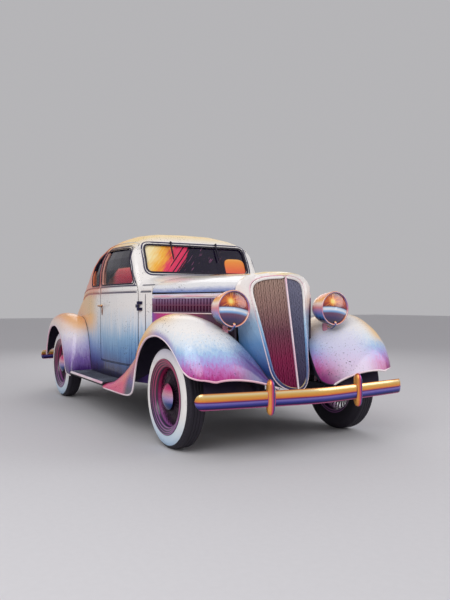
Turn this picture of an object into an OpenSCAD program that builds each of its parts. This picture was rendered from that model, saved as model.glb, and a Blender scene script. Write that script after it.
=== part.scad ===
// Two-door coupe of the middle 1930s: separate wings, running boards, prow grille, wire wheels.
// Millimetres. +X points to the front, +Y to the car's left, +Z up, and the floor is z = 0.

/* [Chassis] */
// Distance between the two axles
wheelbase = 2830; // [2790:5:2870]
// Distance between the tyre centres of one axle
track = 1460; // [1450:5:1475]
// Front axle ahead of the middle of the car
front_axle_x = 1500; // [1485:5:1515]
// Height of the frame's side rails
rail_h = 110; // [90:5:120]
// Width of one side rail
rail_w = 60; // [45:5:70]

/* [Wheels] */
// Outer radius of a tyre
tyre_r = 357; // [345:1:362]
// Width of a tyre
tyre_w = 164; // [140:2:170]
// Radius of the rim's flange
rim_r = 236; // [226:1:242]
// Wire spokes in one wheel
spoke_count = 32; // [24:4:40]
// Radius of one spoke
spoke_r = 4; // [3:0.5:5]
// Radius of the hub cap
cap_r = 92; // [80:1:96]

/* [Body] */
// Thickness of the body's walls and doors
wall = 38; // [30:1:44]
// Highest point of the roof
roof_z = 1672; // [1655:1:1695]
// Height of the belt line at the doors
belt_z = 1100; // [1090:1:1110]
// Lower edge of the body
body_bottom_z = 334; // [328:1:345]
// Half width of the body at the belt line
body_half_w = 683; // [675:1:690]
// Front edge of the doors
door_front_x = 496; // [486:2:506]
// Rear edge of the doors
door_rear_x = -332; // [-345:1:-320]
// Lower edge of the doors
door_bottom_z = 462; // [450:1:475]
// Gap round each door, lid and bonnet top
panel_gap = 6; // [5:0.5:8]
// Thickness of the glass
glass_t = 6; // [4:0.5:8]

/* [Bonnet and grille] */
// Rear edge of the bonnet
bonnet_rear_x = 650; // [640:1:660]
// Front edge of the bonnet, where the grille shell starts
bonnet_front_x = 1650; // [1640:1:1660]
// Thickness of bonnet and grille panels
panel_t = 16; // [12:1:20]
// Vertical bars in each half of the grille
grille_bars = 15; // [10:1:18]
// How far the grille's middle ridge stands ahead of its sides
prow = 118; // [90:2:130]

/* [Wings] */
// Half width of the car over the wings
wing_half_w = 880; // [872:1:888]
// Thickness of the wings
wing_t = 14; // [10:1:18]
// Height of the front wings' crown
front_crown_z = 948; // [930:1:960]
// Height of the rear wings' crown
rear_crown_z = 905; // [890:1:920]

/* [Lamps and bumpers] */
// Radius of a headlamp
lamp_r = 127; // [116:1:130]
// Headlamp's distance from the middle of the car
lamp_y = 437; // [434:1:446]
// Headlamp's height
lamp_z = 968; // [962:1:980]
// Half width of the bumpers
bumper_half_w = 850; // [820:5:870]
// Height of a bumper's middle
bumper_z = 398; // [385:1:410]
// Height of a bumper's blade
bumper_h = 104; // [90:2:116]

/* [Hidden] */
$fn = 48;
clear = 0.3;                     // gap between pieces that seat on each other
running = 0.3;                   // radial gap of a pin in its bore
eps = 1;                         // overlap used only inside one solid and for cuts
far = 3000;                      // reach of a cutting block
rear_axle_x = front_axle_x - wheelbase;
half_track = track / 2;

// Colours
paint = "gainsboro";
chrome = "silver";
dark = "#2a1a38";
steel = "dimgray";
glass = "#503060";

// Interpolation along tables

// Slope of a table's column at a row, zero at a turning point, so that curves never overshoot
function row_slope(t, i, c) =
  (i == 0) ? t[1][c] - t[0][c] :
  (i == len(t) - 1) ? t[i][c] - t[i - 1][c] :
  let (a = t[i][c] - t[i - 1][c], b = t[i + 1][c] - t[i][c])
  a * b <= 0 ? 0 : 2 * a * b / (a + b);

// Smooth value of one column at a row number that may lie between two rows
function row_value(t, s, c) =
  let (i = min(floor(s), len(t) - 2), f = s - i, p = t[i][c], q = t[i + 1][c],
       m = row_slope(t, i, c), n = row_slope(t, i + 1, c))
  (2*f*f*f - 3*f*f + 1) * p + (f*f*f - 2*f*f + f) * m + (-2*f*f*f + 3*f*f) * q + (f*f*f - f*f) * n;

// One whole row between two rows of a table
function row_at(t, s) = [for (c = [0 : len(t[0]) - 1]) row_value(t, s, c)];

// Point of a cubic curve with end points a and d
function cubic(a, b, c, d, u) =
  a * pow(1 - u, 3) + b * 3 * u * pow(1 - u, 2) + c * 3 * u * u * (1 - u) + d * pow(u, 3);

function arc(cx, cy, r, from, to, n) =
  [for (i = [0 : n]) let (a = from + (to - from) * i / n) [cx + r * cos(a), cy + r * sin(a)]];

function unit(v) = v / max(norm(v), 1e-9);

// Sheets: a grid of points given a thickness

function wrap(j, n, closed) = closed ? (j + n) % n : min(max(j, 0), n - 1);

// Each point of a grid moved along the surface's normal
function moved(grid, by, closed = false) =
  let (n = len(grid), m = len(grid[0]))
  [for (i = [0 : n - 1]) [for (j = [0 : m - 1])
    let (du = grid[min(i + 1, n - 1)][j] - grid[max(i - 1, 0)][j],
         dv = grid[i][wrap(j + 1, m, closed)] - grid[i][wrap(j - 1, m, closed)])
    grid[i][j] + unit(cross(du, dv)) * by]];

// Closed solid between a grid and a second grid of the same size
module between(a, b, closed = false) {
  n = len(a);
  m = len(a[0]);
  last = closed ? m - 1 : m - 2;
  function at(k, i, j) = (k * n + i) * m + (j % m);
  polyhedron(
    points = [for (g = [a, b]) each [for (r = g) each r]],
    faces = concat(
      [for (i = [0 : n - 2], j = [0 : last]) each [
        [at(0, i, j), at(0, i + 1, j), at(0, i + 1, j + 1)], [at(0, i, j), at(0, i + 1, j + 1), at(0, i, j + 1)],
        [at(1, i, j), at(1, i + 1, j + 1), at(1, i + 1, j)], [at(1, i, j), at(1, i, j + 1), at(1, i + 1, j + 1)]]],
      [for (j = [0 : last]) each [
        [at(0, 0, j), at(0, 0, j + 1), at(1, 0, j + 1)], [at(0, 0, j), at(1, 0, j + 1), at(1, 0, j)],
        [at(0, n - 1, j), at(1, n - 1, j + 1), at(0, n - 1, j + 1)],
        [at(0, n - 1, j), at(1, n - 1, j), at(1, n - 1, j + 1)]]],
      closed ? [] : [for (i = [0 : n - 2]) each [
        [at(0, i, 0), at(1, i + 1, 0), at(0, i + 1, 0)], [at(0, i, 0), at(1, i, 0), at(1, i + 1, 0)],
        [at(0, i, m - 1), at(0, i + 1, m - 1), at(1, i + 1, m - 1)],
        [at(0, i, m - 1), at(1, i + 1, m - 1), at(1, i, m - 1)]]]),
    convexity = 10);
}

// Closed solid through equal rings of points, with flat convex ends
module skin(rings) {
  n = len(rings);
  m = len(rings[0]);
  polyhedron(
    points = [for (r = rings) each r],
    faces = concat(
      [for (i = [0 : n - 2], j = [0 : m - 1]) let (k = (j + 1) % m) each [
        [i * m + j, (i + 1) * m + k, i * m + k], [i * m + j, (i + 1) * m + j, (i + 1) * m + k]]],
      [[for (j = [0 : m - 1]) j], [for (j = [m - 1 : -1 : 0]) (n - 1) * m + j]]),
    convexity = 10);
}

// Free-form panels stay one smooth mesh, cut and joined as such
module meshed() { resize([0, 0, 0]) children(); }

// Both sides of the car
module both_sides() { children(); mirror([0, 1, 0]) children(); }

// Side view outline carried across the car, between two distances from its middle
module across(from_y, to_y) {
  translate([0, to_y, 0]) rotate([90, 0, 0]) linear_extrude(height = to_y - from_y) children();
}

// Front view outline, drawn as [y, z], carried along the car
module along(from_x, to_x) {
  translate([from_x, 0, 0]) rotate([90, 0, 90]) linear_extrude(height = to_x - from_x) children();
}

// Outline with rounded corners
module rounded(r) { offset(r = r, $fn = 24) offset(delta = -r) children(); }

// Body shell

// Columns: x of the section's foot, x of its top, half width at the belt, belt height, top height,
// height of the foot, squareness above the belt
low_z = body_bottom_z;
body_rows = [
  [bonnet_rear_x,      bonnet_rear_x,      body_half_w - 132, belt_z - 2,   belt_z + 146, low_z, 2.3],
  [bonnet_rear_x - 80, bonnet_rear_x - 80, body_half_w - 100, belt_z - 1,   belt_z + 156, low_z, 2.4],
  [door_front_x - 6,   door_front_x - 26,  body_half_w - 68,  belt_z,       belt_z + 168, low_z, 2.8],
  [door_front_x - 56,  door_front_x - 91,  body_half_w - 54,  belt_z,       belt_z + 320, low_z, 5],
  [door_front_x - 106, door_front_x - 166, body_half_w - 42,  belt_z,       roof_z - 104, low_z, 4.8],
  [door_front_x - 196, door_front_x - 256, body_half_w - 28,  belt_z,       roof_z - 52,  low_z, 4],
  [150,                100,                body_half_w - 12,  belt_z,       roof_z - 16,  low_z, 3.5],
  [-50,                -80,                body_half_w - 3,   belt_z,       roof_z - 2,   low_z, 3.3],
  [-250,               -260,               body_half_w,       belt_z,       roof_z,       low_z, 3.2],
  [-450,               -430,               body_half_w - 3,   belt_z - 1,   roof_z - 8,   low_z, 3.1],
  [-620,               -600,               body_half_w - 15,  belt_z - 2,   roof_z - 32,  low_z, 3],
  [-770,               -760,               body_half_w - 30,  belt_z - 4,   roof_z - 78,  low_z, 2.9],
  [-900,               -890,               body_half_w - 48,  belt_z - 10,  roof_z - 150, low_z, 2.8],
  [-1010,              -1000,              body_half_w - 62,  belt_z - 20,  roof_z - 250, low_z, 2.7],
  [-1110,              -1110,              body_half_w - 76,  belt_z - 40,  belt_z + 200, low_z, 2.6],
  [-1230,              -1230,              body_half_w - 90,  belt_z - 100, belt_z + 52,  low_z, 2.8],
  [-1380,              -1400,              body_half_w - 108, belt_z - 170, belt_z - 40,  low_z + 38,  2.9],
  [-1530,              -1580,              body_half_w - 128, belt_z - 240, belt_z - 128, low_z + 86,  2.8],
  [-1670,              -1750,              body_half_w - 150, belt_z - 320, belt_z - 235, low_z + 118, 2.7],
  [-1780,              -1890,              body_half_w - 172, belt_z - 410, belt_z - 350, low_z + 128, 2.6],
  [-1850,              -1990,              body_half_w - 190, belt_z - 490, belt_z - 450, low_z + 132, 2.4],
  [-1890,              -2050,              body_half_w - 204, belt_z - 560, belt_z - 545, low_z + 134, 2.4],
  [-1900,              -2075,              body_half_w - 212, belt_z - 615, belt_z - 608, low_z + 136, 2.4]];
side_steps = 4;                  // rings of points below the belt
roof_steps = 8;                  // and above it
tuck = 12;                       // how far the side draws in at the foot

// One side of a section, from its foot to the middle of its top, as [y, z]
function half_section(half, belt, top, foot, power) = concat(
  [for (i = [0 : side_steps - 1]) let (f = i / side_steps)
    [half - tuck * pow(1 - f, 2), foot + f * (belt - foot)]],
  [for (i = [0 : roof_steps]) let (a = 90 * i / roof_steps)
    [half * pow(max(cos(a), 0), 2 / power), belt + (top - belt) * pow(sin(a), 2 / power)]]);

// A whole section as points in space, right foot to left foot; the section leans from foot to top
function body_ring(row) =
  let (h = half_section(row[2], row[3], row[4], row[5], row[6]), m = len(h),
       whole = concat([for (p = h) [-p[0], p[1]]], [for (i = [m - 2 : -1 : 0]) h[i]]))
  [for (p = whole) [row[0] + (row[1] - row[0]) * (p[1] - row[5]) / (row[4] - row[5]), p[0], p[1]]];

body_grid = [for (r = body_rows) body_ring(r)];

// Half width of the body's side at a place along it, between the bonnet and the doors' front edge
function cowl_y(x, z) = lookup(x, [for (r = body_rows) [r[0] + (r[1] - r[0]) * (z - low_z) / (r[4] - low_z), r[2]]])
  - tuck * pow(1 - (z - low_z) / (belt_z - low_z), 2);

// Solid that the body's outer skin encloses, grown a little, to trim what seats against it
module body_block(grow) { skin(moved(body_grid, -grow)); }

// Space inside the body, to trim what seats against its inner face
module cabin_block() { skin(moved(body_grid, wall + clear)); }

module body_sheet(inset = 0, t = wall) { between(moved(body_grid, inset), moved(body_grid, inset + t)); }

door_inner_y = 440;              // the doors and side windows lie outside this
// Side view of a door; each edge is drawn in by a gap
module door_outline(gap = 0) {
  rounded(30) polygon([
    [door_front_x - gap, door_bottom_z + gap], [door_front_x - gap, belt_z], [door_front_x - 190 - gap, roof_z - 172 - gap],
    [door_front_x - 280, roof_z - 144 - gap], [door_rear_x + gap, roof_z - 130 - gap], [door_rear_x + gap, door_bottom_z + gap]]);
}

window_sill_z = belt_z + 84;     // lower edge of the side windows
module door_window(gap = 0) {
  rounded(28) polygon([
    [door_front_x - 78 - gap, window_sill_z + gap], [door_front_x - 216 - gap, roof_z - 192 - gap],
    [door_front_x - 290, roof_z - 176 - gap], [door_rear_x + 50 + gap, roof_z - 166 - gap],
    [door_rear_x + 50 + gap, window_sill_z + gap]]);
}

quarter_rear_x = -640;           // rear end of the quarter windows
module quarter_window(gap = 0) {
  rounded(24) polygon([
    [door_rear_x - 36 - gap, window_sill_z + gap], [door_rear_x - 36 - gap, roof_z - 178 - gap],
    [-540, roof_z - 238 - gap], [quarter_rear_x + gap, roof_z - 340], [quarter_rear_x + gap, window_sill_z + gap]]);
}

module screen_opening(gap = 0) {
  low = belt_z + 186 + gap;
  high = roof_z - 150 - gap;
  rounded(44) polygon([[-505 + gap, low], [505 - gap, low], [498 - gap, high], [-498 + gap, high]]);
}

module back_window(gap = 0) {
  rounded(56) polygon([
    [-330 + gap, roof_z - 385 + gap], [330 - gap, roof_z - 385 + gap],
    [300 - gap, roof_z - 250 - gap], [-300 + gap, roof_z - 250 - gap]]);
}

lid_front_x = -1240;             // boot lid, seen from above
lid_rear_x = -1960;
module lid_outline(gap = 0) {
  rounded(60) polygon([
    [lid_front_x - gap, -450 + gap], [lid_front_x - gap, 450 - gap],
    [lid_rear_x + gap, 360 - gap], [lid_rear_x + gap, -360 + gap]]);
}
module lid_block(gap = 0) { translate([0, 0, 400]) linear_extrude(height = far) lid_outline(gap); }

screen_seam_x = door_front_x - 206;  // where the roof panel meets the windscreen frame
rear_seam_x = door_rear_x + 40;      // where the roof panel meets the rear body

module slab_x(from_x, to_x) { translate([from_x, -far / 2, 0]) cube([to_x - from_x, far, far]); }

module door_blocks() { both_sides() across(door_inner_y, far / 2) door_outline(); }

module cowl() {
  color(paint) meshed() difference() {
    intersection() { body_sheet(); slab_x(screen_seam_x, far); }
    door_blocks();
    sill_blocks();
    along(door_front_x - 186, door_front_x + 60) screen_opening();
  }
}

module roof() {
  color(paint) meshed() difference() {
    intersection() { body_sheet(); slab_x(rear_seam_x, screen_seam_x); }
    door_blocks();
    sill_blocks();
  }
}

module rear_body() {
  color(paint) meshed() difference() {
    intersection() { body_sheet(); slab_x(-far, rear_seam_x); }
    door_blocks();
    both_sides() across(door_inner_y, far / 2) quarter_window();
    along(-1200, -850) back_window();
    lid_block();
    rear_arches();
  }
}

// Barrel over the seam at the boot lid's front edge; the lid turns about its middle
boot_hinge_r = 8;
boot_hinge_len = 90;
boot_hinge_rise = 5.4;           // height of the barrel's middle over the seam
function deck_z(x) = lookup(x, [for (r = body_rows) [r[1], r[4]]]);
module boot_hinges() {
  color(steel) both_sides() translate([lid_front_x - panel_gap * 1.2, 100, deck_z(lid_front_x - panel_gap / 2) + boot_hinge_rise])
    rotate([-90, 0, 0]) cylinder(r = boot_hinge_r, h = boot_hinge_len);
}

arch_r = 405;                    // openings in the body's side for the rear wheels
module rear_arches() {
  both_sides() translate([rear_axle_x, 300, tyre_r]) rotate([-90, 0, 0]) cylinder(r = arch_r, h = 600);
}

// Strips of the body side under the doors
module sill_outline() {
  translate([rear_seam_x, body_bottom_z - 50])
    square([door_front_x - rear_seam_x, door_bottom_z - body_bottom_z + 50]);
}
module sill_blocks() { both_sides() across(door_inner_y, far / 2) sill_outline(); }

module sills() {
  color(paint) meshed() intersection() {
    body_sheet();
    sill_blocks();
  }
}

hinge_r = 10;                    // barrels of the door hinges
hinge_x = door_front_x + 8;
hinge_y = body_half_w - 62;
hinge_part_h = 26;               // height of each of a hinge's three barrels
door_hinges_z = [568, 985];      // height of the two hinges on each door

// One barrel with a leaf that lies on the panel beside it
module hinge_part(z, leaf_x) {
  lean = atan((cowl_y(leaf_x - 5, z) - cowl_y(leaf_x + 5, z)) / 10);
  translate([hinge_x, hinge_y, z - hinge_part_h / 2]) cylinder(r = hinge_r, h = hinge_part_h);
  translate([leaf_x, cowl_y(leaf_x, z) + 0.6, z - hinge_part_h / 2]) rotate([0, 0, -lean])
    translate([-14, 0, 0]) cube([28, 6, hinge_part_h]);
  translate([min(hinge_x, leaf_x), hinge_y - 4, z - hinge_part_h / 2])
    cube([abs(hinge_x - leaf_x), 6, hinge_part_h]);
  translate([leaf_x - 4, cowl_y(leaf_x, z) + 4, z - hinge_part_h / 2])
    cube([8, hinge_y - cowl_y(leaf_x, z) - 4, hinge_part_h]);
}

// The outer barrels of a hinge belong to the cowl, the middle one to the door
module cowl_hinges() {
  color(steel) both_sides() for (z = door_hinges_z, up = [-1, 1]) hinge_part(z + up * (hinge_part_h + 0.5), hinge_x + 22);
}
module door_hinges_left() { color(steel) for (z = door_hinges_z) hinge_part(z, hinge_x - 32); }
module door_hinges_right() { mirror([0, 1, 0]) door_hinges_left(); }

module door_panel() {
  difference() {
    intersection() { body_sheet(); across(door_inner_y, far / 2) door_outline(panel_gap); }
    across(door_inner_y, far / 2) door_window();
  }
}

handle_x = door_rear_x + 62;
handle_z = 985;
handle_y = body_half_w - 0.3;
module door_handle() {
  translate([handle_x, handle_y, handle_z]) {
    rotate([-90, 0, 0]) cylinder(r = 17, h = 8);
    rotate([-90, 0, 0]) cylinder(r = 9, h = 42);
    translate([-2, 36, 0]) rotate([0, 90, 0]) cylinder(r = 10, h = 96);
    translate([94, 36, 0]) sphere(r = 12);
  }
}

module door_left() {
  color(paint) meshed() door_panel();
  color(chrome) door_handle();
}
module door_right() { mirror([0, 1, 0]) door_left(); }

glass_inset = 14;                // depth of the glass in the wall
module side_glass() {
  meshed() intersection() {
    body_sheet(glass_inset, glass_t);
    across(door_inner_y, far / 2) children();
  }
}
module door_glass_left() { color(glass) side_glass() door_window(clear); }
module door_glass_right() { mirror([0, 1, 0]) door_glass_left(); }

module windows() {
  color(glass) {
    meshed() intersection() {
      body_sheet(glass_inset, glass_t);
      along(door_front_x - 186, door_front_x + 60) screen_opening(clear);
    }
    meshed() intersection() {
      body_sheet(glass_inset, glass_t);
      along(-1200, -850) back_window(clear);
    }
    both_sides() side_glass() quarter_window(clear);
  }
}

module boot_lid() {
  color(paint) meshed() intersection() { body_sheet(); lid_block(panel_gap); }
}

// Bonnet

// Columns: x, half width at the belt, belt height, top height
bonnet_rows = [
  [bonnet_rear_x,  body_half_w - 132, belt_z - 2,  belt_z + 146],
  [1000,           body_half_w - 212, belt_z - 6,  belt_z + 139],
  [1330,           body_half_w - 283, belt_z - 11, belt_z + 130],
  [bonnet_front_x, body_half_w - 346, belt_z - 15, belt_z + 116]];
bonnet_steps = 9;
bonnet_stations = [for (s = [0 : 0.5 : len(bonnet_rows) - 1]) row_at(bonnet_rows, s)];
function bonnet_half(x) = lookup(x, [for (r = bonnet_rows) [r[0], r[1]]]);

// Left half of the bonnet's top, from the side moulding to the middle
function bonnet_ring(row) =
  [for (i = [0 : bonnet_steps]) let (a = 90 * i / bonnet_steps)
    [row[0], row[1] * pow(max(cos(a), 0), 2 / bonnet_power), row[2] + (row[3] - row[2]) * pow(sin(a), 2 / bonnet_power)]];
bonnet_power = 2.3;
bonnet_grid = [for (r = bonnet_stations) bonnet_ring(r)];

rod_r = 8;                       // hinge rod along the middle of the bonnet
rod_rear_z = belt_z + 150;
rod_front_z = belt_z + 120;
module bonnet_rod() {
  length = bonnet_front_x - bonnet_rear_x;
  drop = atan((rod_rear_z - rod_front_z) / length);
  color(chrome) intersection() {
    translate([bonnet_rear_x - 20, 0, rod_rear_z + 20 * tan(drop)]) rotate([0, 90 + drop, 0]) cylinder(r = rod_r, h = length + 60);
    slab_x(bonnet_rear_x + clear, bonnet_front_x - clear);
  }
}

module bonnet_left() {
  color(paint) meshed() intersection() {
    between(bonnet_grid, moved(bonnet_grid, panel_t));
    translate([bonnet_rear_x + panel_gap, rod_r + 0.6, belt_z - 8])
      cube([bonnet_front_x - bonnet_rear_x - 2 * panel_gap, far, far]);
  }
}
module bonnet_right() { mirror([0, 1, 0]) bonnet_left(); }

// Columns: x, lower edge of the bonnet side along the wing
bonnet_foot_rows = [[bonnet_rear_x, 500], [900, 590], [1150, 720], [1400, 770], [bonnet_front_x, 715]];
bonnet_side_top_z = belt_z - 17;

// Plan of the bonnet between its sides, drawn in by an inset
module bonnet_plan(inset) {
  edge = [for (r = bonnet_stations) [r[0], r[1] - inset]];
  n = len(edge);
  polygon(concat(edge, [for (i = [n - 1 : -1 : 0]) [edge[i][0], -edge[i][1]]]));
}

// Solid that the bonnet's sides enclose, to trim the wings
module bonnet_block(grow) { linear_extrude(height = belt_z) bonnet_plan(-grow); }

vent_rear_x = 700;               // vent in the bonnet side: two rows of upright slots
vent_front_x = 1430;
vent_low_z = 944;
vent_slot_h = 44;
vent_slot_w = 20;
vent_slots = 20;
module vent_slots_cut() {
  pitch = (vent_front_x - vent_rear_x - vent_slot_w) / (vent_slots - 1);
  for (i = [0 : vent_slots - 1], row = [0, 1])
    translate([vent_rear_x + i * pitch, 200, vent_low_z + row * (vent_slot_h + 9)])
      cube([vent_slot_w, 600, vent_slot_h]);
}

module bonnet_side_left() {
  difference() {
    linear_extrude(height = bonnet_side_top_z) difference() {
      bonnet_plan(0);
      bonnet_plan(panel_t);
      translate([0, -far]) square([far, far + 100]);
    }
    across(100, far / 2) polygon(concat([[0, -10]], [[0, bonnet_foot_rows[0][1]]], bonnet_foot_rows,
      [[far, bonnet_foot_rows[4][1]], [far, -10]]));
    slab_x(0, bonnet_rear_x + clear);
    slab_x(bonnet_front_x - clear, far);
    vent_slots_cut();
  }
}
module bonnet_sides() { color(paint) both_sides() bonnet_side_left(); }

// Grille shell and grille

grille_low_z = 396;
grille_high_z = belt_z + 106;
grille_half_w = 236;             // half width of the opening near the top
ridge_top_x = 1792;              // ridge at the top of the grille
head_full = 0.94;                // how square the grille's head is
ridge_lean = 0.2;                // how far it comes forward for each millimetre down

// One side of a shield outline as [half width, height]: round foot, straight side, round head that is more or less full
function shield(foot_w, head_w, low, high, full = 0.74) =
  let (knee = low + 165, neck = high - 140) concat(
    [for (i = [0 : 4]) cubic([0, low], [foot_w * 0.55, low], [foot_w * 0.92, low + 50], [foot_w, knee], i / 5)],
    [for (i = [0 : 3]) [foot_w + (head_w - foot_w) * i / 4, knee + (neck - knee) * i / 4]],
    [for (i = [0 : 6]) cubic([head_w, neck], [head_w * 1.04, neck + 95], [head_w * full, high], [0, high], i / 6)]);

function closed_outline(half) = let (m = len(half))
  concat(half, [for (i = [m - 2 : -1 : 1]) [-half[i][0], half[i][1]]]);

function ridge_x(z) = ridge_top_x + (grille_high_z - z) * ridge_lean;
function grille_x(y, z) = ridge_x(z) - prow * pow(abs(y) / grille_half_w, 1.15);

shell_back = [for (p = closed_outline(shield(290, bonnet_rows[3][1], 430, bonnet_rows[3][3])))
  [bonnet_front_x - 6, p[0], p[1]]];
shell_front = [for (p = closed_outline(shield(168, grille_half_w, grille_low_z, grille_high_z, head_full)))
  [grille_x(p[0], p[1]), p[0], p[1]]];

// Rings from just behind the cut at the bonnet to the grille opening; the flank bulges outwards on the way
shell_bulge = 26;
shell_steps = [-0.08, 0.25, 0.5, 0.75, 1];
shell_grid = [for (s = shell_steps) [for (j = [0 : len(shell_back) - 1])
  let (a = shell_back[j], b = shell_front[j], p = a + (b - a) * s)
  p + [0, sign(p[1]) * shell_bulge * sin(180 * s) * 0.6, p[2] > 900 ? shell_bulge * sin(180 * s) : 0]]];

module grille_shell() {
  color(paint) meshed() intersection() {
    between(shell_grid, moved(shell_grid, panel_t, true), true);
    slab_x(bonnet_front_x + clear, far);
  }
}

module shell_block(grow) { skin(moved(shell_grid, -grow, true)); }

bar_t = 5;
bar_depth = 22;
bar_set = 10;                    // bars lie this far behind the shell's edge
bar_end = panel_t + 4.6;           // and end this far inside its outline
tie_z = [600, 800, 1000];        // cross ties behind the bars
half_inner = shield(168 - bar_end, grille_half_w - bar_end, grille_low_z + bar_end, grille_high_z - bar_end, head_full);
half_low = [for (p = half_inner) if (p[1] < grille_high_z - bar_end - 130) p];
half_high = [for (i = [len(half_inner) - 1 : -1 : 0]) if (half_inner[i][1] > grille_high_z - bar_end - 130) half_inner[i]];

// Lowest and highest point of the bars at a distance from the middle
function bar_low(y) = lookup(y, half_low);
function bar_high(y) = lookup(y, half_high);
function bar_half_w(z) = lookup(z, [for (p = half_inner) [p[1], p[0]]]);

module grille_bar(y) {
  low = bar_low(y);
  high = bar_high(y);
  translate([0, y + bar_t / 2, 0]) rotate([90, 0, 0]) linear_extrude(height = bar_t) polygon([
    [grille_x(y, low) - bar_set, low], [grille_x(y, high) - bar_set, high],
    [grille_x(y, high) - bar_set - bar_depth, high], [grille_x(y, low) - bar_set - bar_depth, low]]);
}

module grille_tie(z) {
  w = bar_half_w(z);
  back = bar_set + bar_depth - 10;
  translate([0, 0, z]) linear_extrude(height = 9) polygon([
    [ridge_x(z) - back, 0], [grille_x(w, z) - back, w], [grille_x(w, z) - back - 8, w], [ridge_x(z) - back - 14, 0]]);
}

module grille() {
  pitch = bar_half_w(1000) / grille_bars;
  color(dark) {
    grille_bar(0);
    both_sides() {
      for (i = [1 : grille_bars - 1]) grille_bar(i * pitch);
      for (z = tie_z) grille_tie(z);
    }
  }
}

// Wings

// Columns: x, crown height, lip height, lip distance, inner edge distance, inner edge height
ax = front_axle_x;
front_wing_rows = [
  [ax + 556, front_crown_z - 420, 490, wing_half_w - 150, 225, 440],
  [ax + 520, front_crown_z - 318, 502, wing_half_w - 84, 220, 436],
  [ax + 450, front_crown_z - 210, 542, wing_half_w - 30, 210, 450],
  [ax + 392, front_crown_z - 146, 600, wing_half_w - 6,  214, 490],
  [ax + 300, front_crown_z - 76,  682, wing_half_w,      236, 580],
  [ax + 150, front_crown_z - 14,  758, wing_half_w,      300, 706],
  [ax,       front_crown_z,       784, wing_half_w,      350, 776],
  [ax - 150, front_crown_z - 30,  764, wing_half_w,      384, 790],
  [ax - 280, front_crown_z - 98,  690, wing_half_w,      412, 768],
  [ax - 370, front_crown_z - 166, 570, wing_half_w,      432, 736],
  [ax - 415, front_crown_z - 206, 440, wing_half_w,      442, 716],
  [ax - 450, front_crown_z - 240, 345, wing_half_w,      450, 696],
  [ax - 540, front_crown_z - 330, 306, wing_half_w - 2,  470, 640],
  [ax - 680, front_crown_z - 452, 294, wing_half_w - 6,  502, 548],
  [ax - 860, front_crown_z - 560, 290, wing_half_w - 10, 542, 444],
  [ax - 1040, front_crown_z - 617, 288, wing_half_w - 12, 590, 362],
  [ax - 1190, front_crown_z - 638, 286, wing_half_w - 14, 600, 330]];
wing_steps = 8;
bx = rear_axle_x;
rear_wing_rows = [
  [bx + 600, 352,                 286, wing_half_w - 14, 610, 344],
  [bx + 566, 500,                 290, wing_half_w - 12, 620, 470],
  [bx + 520, rear_crown_z - 285,  294, wing_half_w - 8,  620, 580],
  [bx + 470, rear_crown_z - 206,  320, wing_half_w - 4,  616, 660],
  [bx + 420, rear_crown_z - 148,  440, wing_half_w - 2,  610, 720],
  [bx + 340, rear_crown_z - 82,   600, wing_half_w,      600, 780],
  [bx + 220, rear_crown_z - 24,   716, wing_half_w,      582, 830],
  [bx + 40,  rear_crown_z,        776, wing_half_w,      560, 850],
  [bx - 140, rear_crown_z - 22,   752, wing_half_w - 2,  538, 826],
  [bx - 280, rear_crown_z - 82,   660, wing_half_w - 6,  516, 766],
  [bx - 370, rear_crown_z - 146,  540, wing_half_w - 12, 498, 704],
  [bx - 430, rear_crown_z - 202,  440, wing_half_w - 20, 486, 650],
  [bx - 520, rear_crown_z - 300,  420, wing_half_w - 42, 466, 560],
  [bx - 590, rear_crown_z - 408,  420, wing_half_w - 76, 450, 490]];

// Section of a left wing: from the inner edge over the crown to the outer lip
function wing_ring(r) = [for (j = [0 : wing_steps]) let (v = j / wing_steps,
    a = [r[4], r[5]], d = [r[3], r[2]], top = max(r[1], r[5]) + 0.24 * (r[1] - r[2]),
    p = cubic(a, [a[0] + 0.42 * (d[0] - a[0]), top], [d[0] + 4, top], d, v))
  [r[0], p[0], p[1]]];

module wing(rows) {
  grid = [for (s = [0 : 2 / 3 : len(rows) - 0.9]) wing_ring(row_at(rows, s))];
  between(moved(grid, -wing_t), grid);
}

wing_seat = 1.3;                 // gap between a front wing and the curved panel that it meets
rear_seat_gap = 1.4;             // and between a rear wing and the body
// The wings end where they meet the body, the bonnet and the grille shell, and are holed for the lamps
module front_wings() {
  color(paint) both_sides() meshed() difference() {
    wing(front_wing_rows);
    body_block(wing_seat);
    bonnet_block(clear);
    shell_block(wing_seat);
    slab_x(0, board_front_x);
    translate([lamp_front_x - 120, lamp_y, 0]) cylinder(r = lamp_post_r + clear, h = far);
  }
}
module rear_wings() {
  color(paint) both_sides() meshed() difference() {
    wing(rear_wing_rows);
    body_block(rear_seat_gap);
    slab_x(board_rear_x, 0);
    translate([-far, 640, 640]) rotate([0, 90, 0]) cylinder(r = tail_lamp_r + clear, h = far - 1600);
  }
}

board_front_x = ax - 1190;       // running boards fill the gap between the wings
board_rear_x = bx + 600;
board_top_z = body_bottom_z - clear;
board_t = 40;
board_w = 266;                   // width of a running board
board_inner_y = wing_half_w - 14 - board_w;
board_ribs = 9;
module running_board() {
  rib = board_w / (2 * board_ribs + 3);
  translate([board_rear_x + clear, board_inner_y, board_top_z - board_t]) rotate([90, 0, 90])
    linear_extrude(height = board_front_x - board_rear_x - 2 * clear) {
      square([board_w - board_t / 2, board_t - 6]);
      translate([board_w - board_t / 2, board_t / 2]) circle(r = board_t / 2);
      for (i = [0 : board_ribs - 1]) translate([rib * (2 * i + 1), board_t - 7]) square([rib, 7]);
    }
}
module running_boards() { color(dark) both_sides() running_board(); }

// Lamps

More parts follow.
